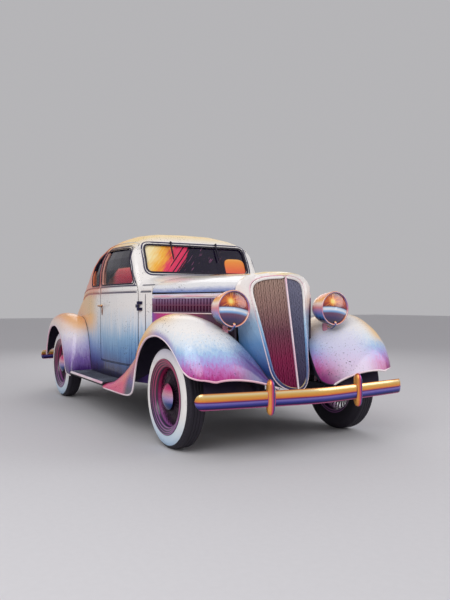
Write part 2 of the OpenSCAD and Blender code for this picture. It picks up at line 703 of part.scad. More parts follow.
lamp_front_x = 1815;             // rim of the headlamps
lamp_len = 215;
lens_dome = 22;
function bullet() = concat([[0, -lamp_len]],
  [for (i = [1 : 7]) let (a = 90 * i / 7) [lamp_r * 0.97 * pow(sin(a), 0.85), -lamp_len + (lamp_len - 30) * (1 - cos(a))]],
  [[lamp_r, -28], [lamp_r, -4], [lamp_r - 4, 0], [lamp_r - 12, 0], [lamp_r - 12, -18], [0, -18]]);

module headlamp() {
  translate([lamp_front_x, lamp_y, lamp_z]) rotate([0, 90, 0]) rotate_extrude() polygon(bullet());
  translate([lamp_front_x - 120, lamp_y, lamp_foot_z]) cylinder(r = lamp_post_r, h = lamp_z - lamp_foot_z - lamp_r + 14);
}
lamp_foot_z = 740;
lamp_post_r = 20;
module headlamps() { color(chrome) both_sides() headlamp(); }

module headlamp_lens() {
  r = lamp_r - 12 - clear;
  ball = (r * r + lens_dome * lens_dome) / (2 * lens_dome);
  translate([lamp_front_x - 18 + clear, lamp_y, lamp_z]) rotate([0, 90, 0])
    intersection() {
      translate([0, 0, 14 + lens_dome - ball]) sphere(r = ball);
      cylinder(r = r, h = 60);
    }
}
module headlamp_lenses() { color("orange") both_sides() headlamp_lens(); }

tail_lamp_x = -1960;             // lens of the tail lamps
tail_lamp_r = 34;
module tail_lamp() {
  translate([tail_lamp_x, 640, 640]) rotate([0, 90, 0])
    rotate_extrude() polygon(concat([[0, 0]], arc(0, 30, 30, -90, 0, 5), [[tail_lamp_r, 34], [tail_lamp_r, 190], [0, 190]]));
}
module tail_lamps() { color("firebrick") both_sides() tail_lamp(); }

// Bumpers

// Columns: share of the half width, how far the blade lies behind its middle
bumper_rows = [[0, 0], [0.05, 6], [0.3, 38], [0.6, 76], [0.86, 110], [0.95, 126], [0.98, 137], [0.995, 150], [1, 160]];
bumper_t = 26;
nose_gap = 155;                  // from the front wings' noses to the bumper's face
bumper_face_x = front_wing_rows[0][0] + nose_gap;
// Rounded blade section as [back, up]
blade = [for (i = [0 : 11]) let (a = -360 * i / 12 - 15) [bumper_t / 2 * cos(a), bumper_h / 2 * sign(sin(a)) * pow(abs(sin(a)), 0.6)]];

module bumper() {
  stations = concat([for (i = [len(bumper_rows) - 1 : -1 : 1]) [-bumper_rows[i][0], bumper_rows[i][1]]], bumper_rows);
  skin([for (r = stations) let (end = lookup(abs(r[0]), [[0.95, 1], [0.98, 0.9], [0.995, 0.68], [1, 0.4]]))
    [for (b = blade) [bumper_face_x - bumper_t / 2 - r[1] + b[0], r[0] * bumper_half_w, bumper_z + b[1] * end]]]);
}

guard_y = 362;
guard_h = 232;
function bumper_back(y) = lookup(y / bumper_half_w, bumper_rows);
module guard() {
  x = bumper_face_x - bumper_back(guard_y);
  hull() for (up = [-1, 1]) translate([x - 6, guard_y, bumper_z + 8 + up * (guard_h / 2 - 34)]) rotate([90, 0, 0]) {
    cylinder(r = 34, h = 34, center = true, $fn = 18);
    cylinder(r = 24, h = 52, center = true, $fn = 18);
  }
}
module bumper_end() { meshed() { bumper(); both_sides() guard(); } }
module bumpers() {
  color(chrome) {
    bumper_end();
    mirror([1, 0, 0]) bumper_end();
  }
}

rail_front_x = bumper_face_x - 221;  // the irons bridge the gap from the rails' ends to the bumpers
rail_rear_x = 251 - bumper_face_x;
rail_y = 330;                    // middle of a side rail
iron_w = 30;
// Bracket from a rail's end to the bumper's back
module iron(rail_end) {
  y = rail_y - rail_w / 2 + 2;
  from_x = rail_end + clear;
  to_x = bumper_face_x - bumper_t - bumper_back(y + iron_w);
  translate([from_x, y, bumper_z - 6]) cube([to_x - from_x, iron_w, 44]);
}
module bumper_irons() {
  color(steel) {
    both_sides() iron(rail_front_x);
    mirror([1, 0, 0]) both_sides() iron(-rail_rear_x);
  }
}

// Chassis

rail_z = 400;                    // underside of the rails between the axles
kick_front = 70;                 // rise over the front axle
kick_rear = 120;                 // rise over the rear axle
module rail_outline() {
  polygon([
    [rail_rear_x, rail_z + 20], [rear_axle_x - 330, rail_z + 40], [rear_axle_x - 190, rail_z + kick_rear],
    [rear_axle_x + 190, rail_z + kick_rear], [rear_axle_x + 380, rail_z], [front_axle_x - 420, rail_z],
    [front_axle_x - 200, rail_z + kick_front], [front_axle_x + 230, rail_z + kick_front], [rail_front_x, rail_z + 10],
    [rail_front_x, rail_z + 10 + rail_h * 0.7], [front_axle_x + 230, rail_z + kick_front + rail_h],
    [front_axle_x - 200, rail_z + kick_front + rail_h], [front_axle_x - 420, rail_z + rail_h],
    [rear_axle_x + 380, rail_z + rail_h], [rear_axle_x + 190, rail_z + kick_rear + rail_h],
    [rear_axle_x - 190, rail_z + kick_rear + rail_h], [rear_axle_x - 330, rail_z + 40 + rail_h],
    [rail_rear_x, rail_z + 20 + rail_h * 0.7]]);
}
module frame_rails() {
  color(dark) both_sides() across(rail_y - rail_w / 2, rail_y + rail_w / 2) rail_outline();
}

// Columns: x, underside, height of the members between the rails
cross_rows = [[-1885, 440, 46], [-700, 462, 46], [100, 380, 40], [860, 424, 66], [1400, 470, 66], [1590, 470, 66]];
module cross_members() {
  half = rail_y - rail_w / 2 - clear;
  color(dark) difference() {
    for (r = cross_rows) translate([r[0] - 35, -half, r[1]]) cube([70, 2 * half, r[2]]);
    translate([cross_rows[0][0], 0, cross_rows[0][1] - eps]) cylinder(r = tow_r, h = cross_rows[0][2] + 2 * eps);
  }
}
tow_r = 16;                      // hole for a towing pin in the rear member

engine_len = 690;
engine_w = 300;
engine_top_z = 1000;
engine_rear_x = 800;
module engine() {
  low = cross_rows[4][1] + cross_rows[4][2] + clear;
  color(steel) translate([engine_rear_x, -engine_w / 2, low]) cube([engine_len, engine_w, engine_top_z - low]);
}

radiator_t = 60;
module radiator() {
  low = cross_rows[5][1] + cross_rows[5][2] + clear;
  color(dark) translate([cross_rows[5][0] - radiator_t / 2, -250, low]) cube([radiator_t, 500, 560]);
}

driveline_z = 470;
diff_r = 130;
gearbox_rear_x = 200;
module driveline() {
  color(steel) {
    translate([gearbox_rear_x, 0, driveline_z]) rotate([0, 90, 0])
      cylinder(r1 = 80, r2 = 150, h = engine_rear_x - gearbox_rear_x - clear);
    translate([rear_axle_x + diff_r + 40 + clear, 0, 0]) prop_shaft();
  }
}
module prop_shaft() {
  from = [3, 0, tyre_r];
  to = [gearbox_rear_x - rear_axle_x - diff_r - 40 - 2 * clear, 0, driveline_z];
  d = to - from;
  rotate_to = atan2(d[0], d[2]);
  translate(from) rotate([0, rotate_to, 0]) cylinder(r = 32, h = norm(d) - 6);
}

pin_r = 13;                      // king pins
king_y = 640;                    // distance of the king pins from the middle
boss_r = 34;
boss_h = 76;
spindle_r = 23;
beam_drop = 62;
beam_h = 64;
beam_w = 46;
module front_axle() {
  color(steel) difference() {
    union() {
      translate([front_axle_x - beam_w / 2, -king_y + 90, tyre_r - beam_drop - beam_h / 2]) cube([beam_w, 2 * king_y - 180, beam_h]);
      both_sides() {
        across_beam();
        translate([front_axle_x, king_y, tyre_r - boss_h / 2]) cylinder(r = boss_r, h = boss_h);
      }
      both_sides() translate([front_axle_x - 30, spring_y - 26, tyre_r - beam_drop]) cube([60, 52, beam_h / 2 + 20]);
    }
    both_sides() translate([front_axle_x, king_y, 0]) cylinder(r = pin_r + running, h = 2 * tyre_r);
  }
}
// Rising end of the axle beam, up to the king pin boss
module across_beam() {
  translate([front_axle_x - beam_w / 2, 0, 0]) rotate([90, 0, 90]) linear_extrude(height = beam_w) polygon([
    [king_y - 92, tyre_r - beam_drop - beam_h / 2], [king_y - 82, tyre_r - beam_drop - beam_h / 2],
    [king_y - 42, tyre_r - 30], [king_y - 20, tyre_r - 30], [king_y - 20, tyre_r + 30],
    [king_y - 92, tyre_r - beam_drop + beam_h / 2]]);
}

arm_len = 150;                   // steering arms point to the rear
arm_z = tyre_r - boss_h / 2 - 34;
arm_y = king_y;                  // straight back, so that the two arms and the tie rod stay a parallelogram
arm_t = 18;
tie_pin_r = 9;
tie_eye_r = 19;
tie_eye_h = 24;
drum_in_y = half_track - 46;     // inner face of the brake drum
ear_t = 24;
module knuckle_left() {
  color(steel) {
    difference() {
      union() {
        for (up = [0, 1]) translate([front_axle_x, king_y, tyre_r + (up ? boss_h / 2 + 1 : -boss_h / 2 - 1 - ear_t)])
          cylinder(r = boss_r, h = ear_t);
        translate([front_axle_x - 30, king_y + boss_r + 3, tyre_r - boss_h / 2 - 1 - ear_t])
          cube([60, 12, boss_h + 2 + 2 * ear_t]);
        for (up = [0, 1]) translate([front_axle_x - 30, king_y, tyre_r + (up ? boss_h / 2 + 1 : -boss_h / 2 - 1 - ear_t)])
          cube([60, boss_r + 4, ear_t]);
      }
    }
    translate([front_axle_x, king_y, tyre_r - boss_h / 2 - ear_t - 8]) cylinder(r = pin_r, h = boss_h + 2 * ear_t + 16);
    translate([front_axle_x, king_y + boss_r + 10, tyre_r]) rotate([-90, 0, 0])
      cylinder(r = spindle_r, h = half_track + 44 - king_y - boss_r - 10);
    steering_arm();
  }
}
module steering_arm() {
  low = tyre_r - boss_h / 2 - 1 - ear_t;
  translate([0, 0, low]) linear_extrude(height = arm_t) {
    polygon([[front_axle_x - 10, king_y - 24], [front_axle_x - 10, king_y + 18],
             [front_axle_x - arm_len, arm_y + 16], [front_axle_x - arm_len, arm_y - 16]]);
    translate([front_axle_x - arm_len, arm_y]) circle(r = 18);
  }
  translate([front_axle_x - arm_len, arm_y, low - tie_eye_h - 10]) cylinder(r = tie_pin_r, h = tie_eye_h + 12);
}
module knuckle_right() { mirror([0, 1, 0]) knuckle_left(); }

module tie_rod() {
  low = tyre_r - boss_h / 2 - 1 - ear_t - tie_eye_h - 2;
  color(steel) difference() {
    union() {
      translate([front_axle_x - arm_len, -arm_y + 10, low + tie_eye_h / 2]) rotate([-90, 0, 0]) cylinder(r = 11, h = 2 * arm_y - 20);
      both_sides() translate([front_axle_x - arm_len, arm_y, low]) cylinder(r = tie_eye_r, h = tie_eye_h);
    }
    both_sides() translate([front_axle_x - arm_len, arm_y, low - 5]) cylinder(r = tie_pin_r + running, h = tie_eye_h + 10);
  }
}

module rear_axle() {
  color(steel) {
    translate([rear_axle_x, -half_track - 40, tyre_r]) rotate([-90, 0, 0]) cylinder(r = spindle_r, h = track + 80);
    translate([rear_axle_x, -drum_in_y + 16, tyre_r]) rotate([-90, 0, 0]) cylinder(r = 42, h = 2 * drum_in_y - 32);
    translate([rear_axle_x, -90, tyre_r]) rotate([-90, 0, 0]) cylinder(r = diff_r, h = 180);
    translate([rear_axle_x, 0, tyre_r]) rotate([0, 90, 0]) cylinder(r = 52, h = diff_r + 40);
    both_sides() translate([rear_axle_x - 34, rear_spring_y - 26, tyre_r]) cube([68, 52, 60]);
  }
}

spring_y = 412;
rear_spring_y = 395;
spring_half = 430;
leaf_w = 46;
leaf_t = 9;
leaf_count = 6;
// Stack of leaves, each shorter than the one above it
module leaf_spring(x, y, seat_z) {
  translate([x, y, 0]) across(-leaf_w / 2, leaf_w / 2)
    for (i = [0 : leaf_count - 1]) let (half = spring_half * (1 - 0.15 * i), z = seat_z + (leaf_count - 1 - i) * leaf_t)
      translate([-half, z]) square([2 * half, leaf_t]);
}
// Hangers that tie a spring's eyes to the side rail
module spring_hangers(x, y, seat_z) {
  z = seat_z + (leaf_count - 1) * leaf_t;
  for (end = [-1, 1]) translate([x + end * (spring_half - 20) - 16, rail_y + rail_w / 2 + clear, z - 12])
    cube([32, y + leaf_w / 2 - rail_y - rail_w / 2, leaf_t + 40]);
}
module springs() {
  front_seat = tyre_r - beam_drop + beam_h / 2 + 20 + clear;
  rear_seat = tyre_r + 60 + clear;
  color(dark) both_sides() {
    leaf_spring(front_axle_x, spring_y, front_seat);
    spring_hangers(front_axle_x, spring_y, front_seat);
    leaf_spring(rear_axle_x, rear_spring_y, rear_seat);
    spring_hangers(rear_axle_x, rear_spring_y, rear_seat);
  }
}

module fuel_tank() {
  half = rail_y - rail_w / 2 - clear;
  color(dark) translate([-1840, -half, rail_z + 100]) cube([340, 2 * half, 180]);
}

exhaust_y = 210;
exhaust_r = 24;
muffler_r = 70;
exhaust_z = 278;
riser_x = 760;                   // pipe down from the engine's side
module exhaust() {
  color(steel) {
    translate([-1990, exhaust_y, exhaust_z]) rotate([0, 90, 0]) cylinder(r = exhaust_r, h = 1990 + riser_x);
    translate([-380, exhaust_y, exhaust_z]) rotate([0, 90, 0]) cylinder(r = muffler_r, h = 560);
    translate([riser_x, exhaust_y, exhaust_z]) sphere(r = exhaust_r);
    translate([riser_x, exhaust_y, exhaust_z]) cylinder(r = exhaust_r, h = 372);
    translate([riser_x, exhaust_y, exhaust_z + 372]) sphere(r = exhaust_r + 2);
    translate([riser_x, exhaust_y, exhaust_z + 372]) rotate([0, 90, 0]) cylinder(r = exhaust_r, h = 420);
    for (x = [860, 1120]) translate([x, engine_w / 2 + clear, exhaust_z + 350]) cube([50, exhaust_y - engine_w / 2, 44]);
  }
}

floor_z = rail_z + rail_h + clear;
floor_t = 20;
floor_rear_x = -940;
boot_floor_z = 690;
tunnel_r = 172;                  // cover over the gearbox
firewall_x = bonnet_rear_x - 22;
module floor_pan() {
  color(dark) difference() {
    union() {
      translate([0, 0, floor_z]) linear_extrude(height = floor_t) polygon([
        [floor_rear_x, -560], [400, -560], [firewall_x, -500], [firewall_x, 500], [400, 560], [floor_rear_x, 560]]);
      meshed() intersection() {
        cabin_block();
        translate([firewall_x - floor_t, -far / 2, floor_z]) cube([floor_t, far, belt_z - floor_z - 30]);
      }
      translate([floor_rear_x, -520, floor_z]) cube([floor_t, 1040, boot_floor_z - floor_z + floor_t]);
      translate([-1830, -420, boot_floor_z]) cube([1830 + floor_rear_x + floor_t, 840, floor_t]);
      translate([gearbox_rear_x - 40, 0, driveline_z]) rotate([0, 90, 0])
        cylinder(r = tunnel_r + 14, h = firewall_x - gearbox_rear_x + 40);
    }
    translate([gearbox_rear_x - 60, 0, driveline_z]) rotate([0, 90, 0]) cylinder(r = tunnel_r, h = 800);
    translate([gearbox_rear_x - 60, -300, 0]) cube([800, 600, floor_z]);
    in_column_frame() cylinder(r = column_r + 3, h = 900);
  }
}

// Inside

seat_z = floor_z + floor_t;
module soft_block(x, y, z, r) {
  hull() for (i = [0, 1], j = [0, 1], k = [0, 1])
    translate([r + i * (x - 2 * r), r + j * (y - 2 * r), r + k * (z - 2 * r)]) sphere(r = r, $fn = 16);
}
seat_w = 1120;
seat_back_h = 560;
module seat() {
  color("indianred") {
    translate([-560, -seat_w / 2, seat_z - 0.8]) soft_block(520, seat_w, 250, 60);
    both_sides() translate([-560, 6, seat_z + 237]) rotate([0, -12, 0]) soft_block(150, seat_w / 2 - 8, seat_back_h, 60);
  }
}

// The dashboard spans the cowl from wall to wall
dash_x = door_front_x + 14;
dash_t = 34;
dash_low_z = 1000;
dash_high_z = 1200;
module dashboard() {
  color(paint) meshed() intersection() {
    cabin_block();
    translate([dash_x, -far / 2, dash_low_z]) cube([dash_t, far, dash_high_z - dash_low_z]);
  }
}

column_y = 360;
column_tilt = 118;               // from straight up, towards the front
column_top = [190, column_y, 1040];
column_r = 20;
column_len = 850;
steer_r = 205;
box_lap = 36;                    // how deep the column enters the steering box on the left rail
module in_column_frame() { translate(column_top) rotate([0, column_tilt, 0]) children(); }
// Lower end of the column as [x, z]
column_end = [column_top[0] + column_len * sin(column_tilt), column_top[2] + column_len * cos(column_tilt)];
box_low_z = rail_z + rail_h + clear;
module steering_column() {
  color(dark) {
    in_column_frame() cylinder(r = column_r, h = column_len);
    translate([column_end[0] - box_lap, column_y - 40, box_low_z]) cube([110, 80, column_end[1] + box_lap - box_low_z]);
  }
}
module steering_wheel() {
  color(dark) in_column_frame() translate([0, 0, -26]) {
    rotate_extrude() translate([steer_r, 0]) circle(r = 13, $fn = 24);
    cylinder(r = 36, h = 26 - clear);
    for (a = [0, 120, 240]) rotate([0, 0, a]) translate([0, 0, 12]) rotate([0, 90, 0]) cylinder(r = 8, h = steer_r - 4);
  }
}

// A wiper hangs from the top of the windscreen frame
wiper_ys = [-250, 210];
header_lean = atan((roof_z - 104 - belt_z - 320) / 75);
module wiper() {
  translate([door_front_x - 157, 0, roof_z - 122]) rotate([0, header_lean, 0]) {
    translate([0, 0, -0.4]) cylinder(r = 9, h = 21.2);
    translate([0, -4, 12]) cube([150, 8, 6]);
    translate([40, -3, 1]) cube([130, 6, 12]);
  }
}
module wipers() { color(dark) for (y = wiper_ys) translate([0, y, 0]) wiper(); }

// Wheels

tyre_shoulder = 40;
tyre_in_r = rim_r - 16;
function tyre_outline() = let (w = tyre_w / 2, c = tyre_r - tyre_shoulder) concat(
  [[tyre_in_r, -rim_w / 2], [rim_r + 0.5, -rim_w / 2 - 8.2], [rim_r + 0.5, -rim_w / 2 - 15], [rim_r + 26, -w + 3]],
  [for (p = arc(c - 30, 0, w, -78, -40, 5)) [p[0], p[1]]],
  [for (p = arc(tyre_r - 22, -w + 44, 22, -60, 0, 4)) p],
  [for (p = arc(tyre_r - 22, w - 44, 22, 0, 60, 4)) p],
  [for (p = arc(c - 30, 0, w, 40, 78, 5)) [p[0], p[1]]],
  [[rim_r + 26, w - 3], [rim_r + 0.5, rim_w / 2 + 15], [rim_r + 0.5, rim_w / 2 + 8.2], [tyre_in_r, rim_w / 2]]);

module wheel_place(x, side) { translate([x, side * half_track, tyre_r]) rotate([side * -90, 0, 0]) children(); }

module tyre() { color("#18141c") rotate_extrude($fn = 96) polygon(tyre_outline()); }

// Rim, hub and drum profiles as [radius, distance outwards from the tyre's middle]
rim_w = 108;
module rim() {
  rotate_extrude($fn = 96) polygon([
    [tyre_in_r - 1, -rim_w / 2], [rim_r, -rim_w / 2 - 8], [rim_r, -rim_w / 2 - 14], [tyre_in_r - 8, -rim_w / 2 - 8],
    [198, -24], [198, 24], [tyre_in_r - 8, rim_w / 2 + 8], [rim_r, rim_w / 2 + 14], [rim_r, rim_w / 2 + 8],
    [tyre_in_r - 1, rim_w / 2], [206, 20], [206, -20]]);
}
hub_r = 46;
hub_in = -36;
hub_out = 58;
drum_r = 150;
module hub() {
  rotate_extrude($fn = 64) polygon([
    [spindle_r + running, hub_in], [drum_r, hub_in], [drum_r, hub_in + 54], [drum_r - 10, hub_in + 54],
    [drum_r - 14, hub_in + 50], [hub_r, hub_in + 44], [hub_r, hub_out - 14], [60, hub_out - 10], [60, hub_out],
    [0, hub_out], [0, hub_out - 10], [spindle_r + running, hub_out - 10]]);
}
module spokes() {
  for (i = [0 : spoke_count - 1]) {
    outer = i % 2 == 0;
    lean = outer ? 1 : -1;
    in_z = outer ? hub_out - 20 : 20;
    a = i * 360 / spoke_count;
    from = [(hub_r - 6) * cos(a), (hub_r - 6) * sin(a), in_z];
    b = a + lean * 22;
    to = [202 * cos(b), 202 * sin(b), outer ? -8 : 8];
    d = to - from;
    translate(from) rotate([0, acos(d[2] / norm(d)), atan2(d[1], d[0])]) cylinder(r = spoke_r, h = norm(d), $fn = 16);
  }
}
cap_dome = 30;
module hub_cap() {
  ball = (cap_r * cap_r + cap_dome * cap_dome) / (2 * cap_dome);
  translate([0, 0, hub_out + clear]) intersection() {
    translate([0, 0, cap_dome - ball]) sphere(r = ball);
    cylinder(r = cap_r, h = 60);
  }
}
module wheel() {
  color("#8c1c4c") { rim(); hub(); spokes(); }
  color(chrome) hub_cap();
}

module tyre_front_right() { wheel_place(front_axle_x, -1) tyre(); }
module tyre_front_left() { wheel_place(front_axle_x, 1) tyre(); }
module tyre_rear_right() { wheel_place(rear_axle_x, -1) tyre(); }
module tyre_rear_left() { wheel_place(rear_axle_x, 1) tyre(); }
module wheel_front_right() { wheel_place(front_axle_x, -1) wheel(); }
module wheel_front_left() { wheel_place(front_axle_x, 1) wheel(); }
module wheel_rear_right() { wheel_place(rear_axle_x, -1) wheel(); }
module wheel_rear_left() { wheel_place(rear_axle_x, 1) wheel(); }

frame_rails();
cross_members();
engine();
radiator();
driveline();
front_axle();
rear_axle();
springs();
fuel_tank();
exhaust();
floor_pan();
sills();
cowl();
cowl_hinges();
roof();
rear_body();
boot_hinges();
seat();
dashboard();
steering_column();
steering_wheel();
front_wings();
rear_wings();
running_boards();
bonnet_sides();
bonnet_rod();
bonnet_right();
bonnet_left();
grille_shell();
grille();
headlamps();
headlamp_lenses();
bumpers();
bumper_irons();
windows();
wipers();
tail_lamps();
door_right();
door_left();
door_hinges_right();
door_hinges_left();
door_glass_right();
door_glass_left();
boot_lid();
knuckle_right();
knuckle_left();
tie_rod();
tyre_front_right();
tyre_front_left();
tyre_rear_right();
tyre_rear_left();
wheel_front_right();
wheel_front_left();
wheel_rear_right();
wheel_rear_left();
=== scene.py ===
"""Looks for the coupe: pearl paint with painted reflections and painted shade in warm and cool fades,
white-band tyres, wire wheels, trim and padded seats.
"""
import math

import bpy
import numpy as np
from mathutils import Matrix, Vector
from mathutils.bvhtree import BVHTree


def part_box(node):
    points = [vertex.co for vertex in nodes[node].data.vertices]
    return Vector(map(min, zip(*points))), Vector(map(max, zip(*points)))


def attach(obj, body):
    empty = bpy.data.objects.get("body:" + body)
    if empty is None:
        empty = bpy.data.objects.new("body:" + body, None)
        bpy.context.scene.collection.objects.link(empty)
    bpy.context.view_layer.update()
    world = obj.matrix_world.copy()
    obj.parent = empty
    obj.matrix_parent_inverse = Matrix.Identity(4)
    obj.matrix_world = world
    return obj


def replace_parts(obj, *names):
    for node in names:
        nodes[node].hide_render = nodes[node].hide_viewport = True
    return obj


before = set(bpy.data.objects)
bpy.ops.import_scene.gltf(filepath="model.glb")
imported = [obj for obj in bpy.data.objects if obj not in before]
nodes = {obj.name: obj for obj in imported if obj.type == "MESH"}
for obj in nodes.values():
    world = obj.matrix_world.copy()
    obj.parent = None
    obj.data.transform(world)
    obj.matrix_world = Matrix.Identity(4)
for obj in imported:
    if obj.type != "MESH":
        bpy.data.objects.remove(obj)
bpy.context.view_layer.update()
scene = bpy.context.scene

FRONT_AXLE, REAR_AXLE, HALF_TRACK, TYRE_R = 1.5, -1.33, 0.73, 0.357
LAMP_X, LAMP_Y, LAMP_Z, LAMP_R = 1.815, 0.437, 0.968, 0.127
WHEELS = {
    "front_right": (FRONT_AXLE, -1),
    "front_left": (FRONT_AXLE, 1),
    "rear_right": (REAR_AXLE, -1),
    "rear_left": (REAR_AXLE, 1),
}
SIDES = (("right", -1), ("left", 1))


# Shader maths


def ink(code):
    """Linear colour of a six-digit screen colour."""
    c = np.array([int(code[i : i + 2], 16) for i in (0, 2, 4)]) / 255
    c = np.where(c <= 0.04045, c / 12.92, ((c + 0.055) / 1.055) ** 2.4)
    return (*(float(v) for v in c), 1.0)


class Wire:
    """A socket in a material's tree. Arithmetic on it adds Math nodes, and make() adds any other node."""

    def __init__(self, tree, socket=None):
        self.tree, self.socket = tree, socket

    def make(self, kind, inputs=(), out=0, stops=None, **settings):
        node = self.tree.nodes.new(kind)
        for name, value in settings.items():
            setattr(node, name, value)
        if stops:
            ends = node.color_ramp.elements
            for element, (place, colour) in zip((ends[0], ends[-1]), (stops[0], stops[-1])):
                element.position, element.color = place, colour
            for place, colour in stops[1:-1]:
                ends.new(place).color = colour
        for key, value in dict(inputs).items():
            self.feed(node.inputs[key], value)
        return Wire(self.tree, node.outputs[out])

    def feed(self, socket, value):
        """Links a wire to a socket, or sets the socket to a value or to a colour's code."""
        if isinstance(value, Wire):
            self.tree.links.new(value.socket, socket)
        else:
            socket.default_value = ink(value) if isinstance(value, str) else value

    def math(self, operation, *others):
        return self.make("ShaderNodeMath", enumerate((self, *others)), operation=operation)

    def __add__(self, other):
        return self.math("ADD", other)

    def __sub__(self, other):
        return self.math("SUBTRACT", other)

    def __rsub__(self, other):
        return self.make("ShaderNodeMath", {0: other, 1: self}, operation="SUBTRACT")

    def __mul__(self, other):
        return self.math("MULTIPLY", other)

    def __truediv__(self, other):
        return self.math("DIVIDE", other)

    def __pow__(self, other):
        return self.math("POWER", other)

    __radd__, __rmul__ = __add__, __mul__

    def step(self, low, high):
        """Smooth rise from 0 at low to 1 at high."""
        return self.make("ShaderNodeMapRange", {0: self, 1: low, 2: high}, interpolation_type="SMOOTHSTEP")

    def fall(self, low, high):
        return 1 - self.step(low, high)

    def blend(self, a, b):
        """Colour a where this is 0, colour b where it is 1."""
        return self.make("ShaderNodeMix", {0: self, 6: a, 7: b}, out=2, data_type="RGBA")

    def ramp(self, *stops):
        """Colours along this value; stops are given in the value's own unit."""
        low, span = stops[0][0], stops[-1][0] - stops[0][0]
        share = (self - low) / span
        return share.make("ShaderNodeValToRGB", {0: share}, stops=[((v - low) / span, ink(c)) for v, c in stops])

    def split(self):
        node = self.tree.nodes.new("ShaderNodeSeparateXYZ")
        self.tree.links.new(self.socket, node.inputs[0])
        return [Wire(self.tree, o) for o in node.outputs]

    def noise(self, scale, detail=3.0, rough=0.5):
        return self.make("ShaderNodeTexNoise", {"Vector": self, "Scale": scale, "Detail": detail, "Roughness": rough})

    def moved(self, location=(0, 0, 0), scale=(1, 1, 1)):
        return self.make("ShaderNodeMapping", {"Vector": self, "Location": location, "Scale": scale})

    def bump(self, strength, distance=0.002, **base):
        """Normal made uneven by this height, on the surface's own normal or on base Normal."""
        return self.make("ShaderNodeBump", {"Height": self, "Strength": strength, "Distance": distance, **base})


def finish(recipe, name=None, **constants):
    """A material: recipe(place, normal) gives what varies over the surface, constants stay on the shader's
    sockets."""
    made = bpy.data.materials.new(name or recipe.__name__)
    made.use_nodes = True
    tree = made.node_tree
    shader = tree.nodes["Principled BSDF"]
    start = Wire(tree)
    coords = tree.nodes.new("ShaderNodeTexCoord")
    values = recipe(Wire(tree, coords.outputs["Object"]), Wire(tree, coords.outputs["Normal"]))
    for key, value in {**constants, **values}.items():
        start.feed(shader.inputs[key.replace("_", " ")], value)
    return made


WHITE, ORANGE, CORAL, PINK, MAGENTA = "f5f1ee", "f09040", "f0665c", "ea3d86", "b42a84"
PALE_BLUE, BLUE, DEEP_BLUE, NAVY, NIGHT = "a9cdea", "5f92c6", "2f4f90", "1c1748", "140a26"


def faced(colour, rough, normal, **more):
    """What varies over a surface, by the names of the shader's sockets."""
    return {"Base Color": colour, "Roughness": rough, "Normal": normal, **more}


def worn(place, colour, rough, amount=1.0, **base):
    """Chips and specks of dark primer in loose patches over a fine orange-peel skin."""
    patch = place.noise(3.4, 2).step(0.46, 0.66)
    specks = place.noise(95, 2, 0.6).step(0.655, 0.68) * (0.3 + 0.7 * patch) * amount
    chips = place.noise(42, 4, 0.7).step(0.645, 0.66) * patch * amount
    marks = (specks + chips).math("MINIMUM", 1.0)
    skin = place.noise(260, 2)
    normal = (skin * 0.15 - marks).bump(0.35, 0.0006, **base)
    return faced(marks.blend(colour, "2a2230"), rough + 0.5 * marks + 0.06 * skin, normal)


def hatched(place, stretch, scale=70):
    """Fine strokes, long one way, that feather the edges of a fade."""
    return place.moved(scale=stretch).noise(scale, 2) - 0.5


def crowned(place, normal, top):
    """The normal where top is 0; where it is 1, that of one smooth crown, whose slopes are polynomials along
    and across."""
    x, y = place.split()[:2]
    along = 0.054 + x * (0.663 + x * (1.941 + x * (2.941 + 0.539 * x)))
    over = y * (0.154 + 3.956 * y * y)
    smooth = place.make("ShaderNodeCombineXYZ", {0: along, 1: over, 2: 1.0})
    smooth = place.make("ShaderNodeVectorMath", {0: smooth}, operation="NORMALIZE")
    mixed = place.make("ShaderNodeMix", {0: top, 4: normal, 5: smooth}, out=1, data_type="VECTOR")
    return place.make(
        "ShaderNodeVectorTransform", {0: mixed}, vector_type="NORMAL", convert_from="OBJECT", convert_to="WORLD"
    )


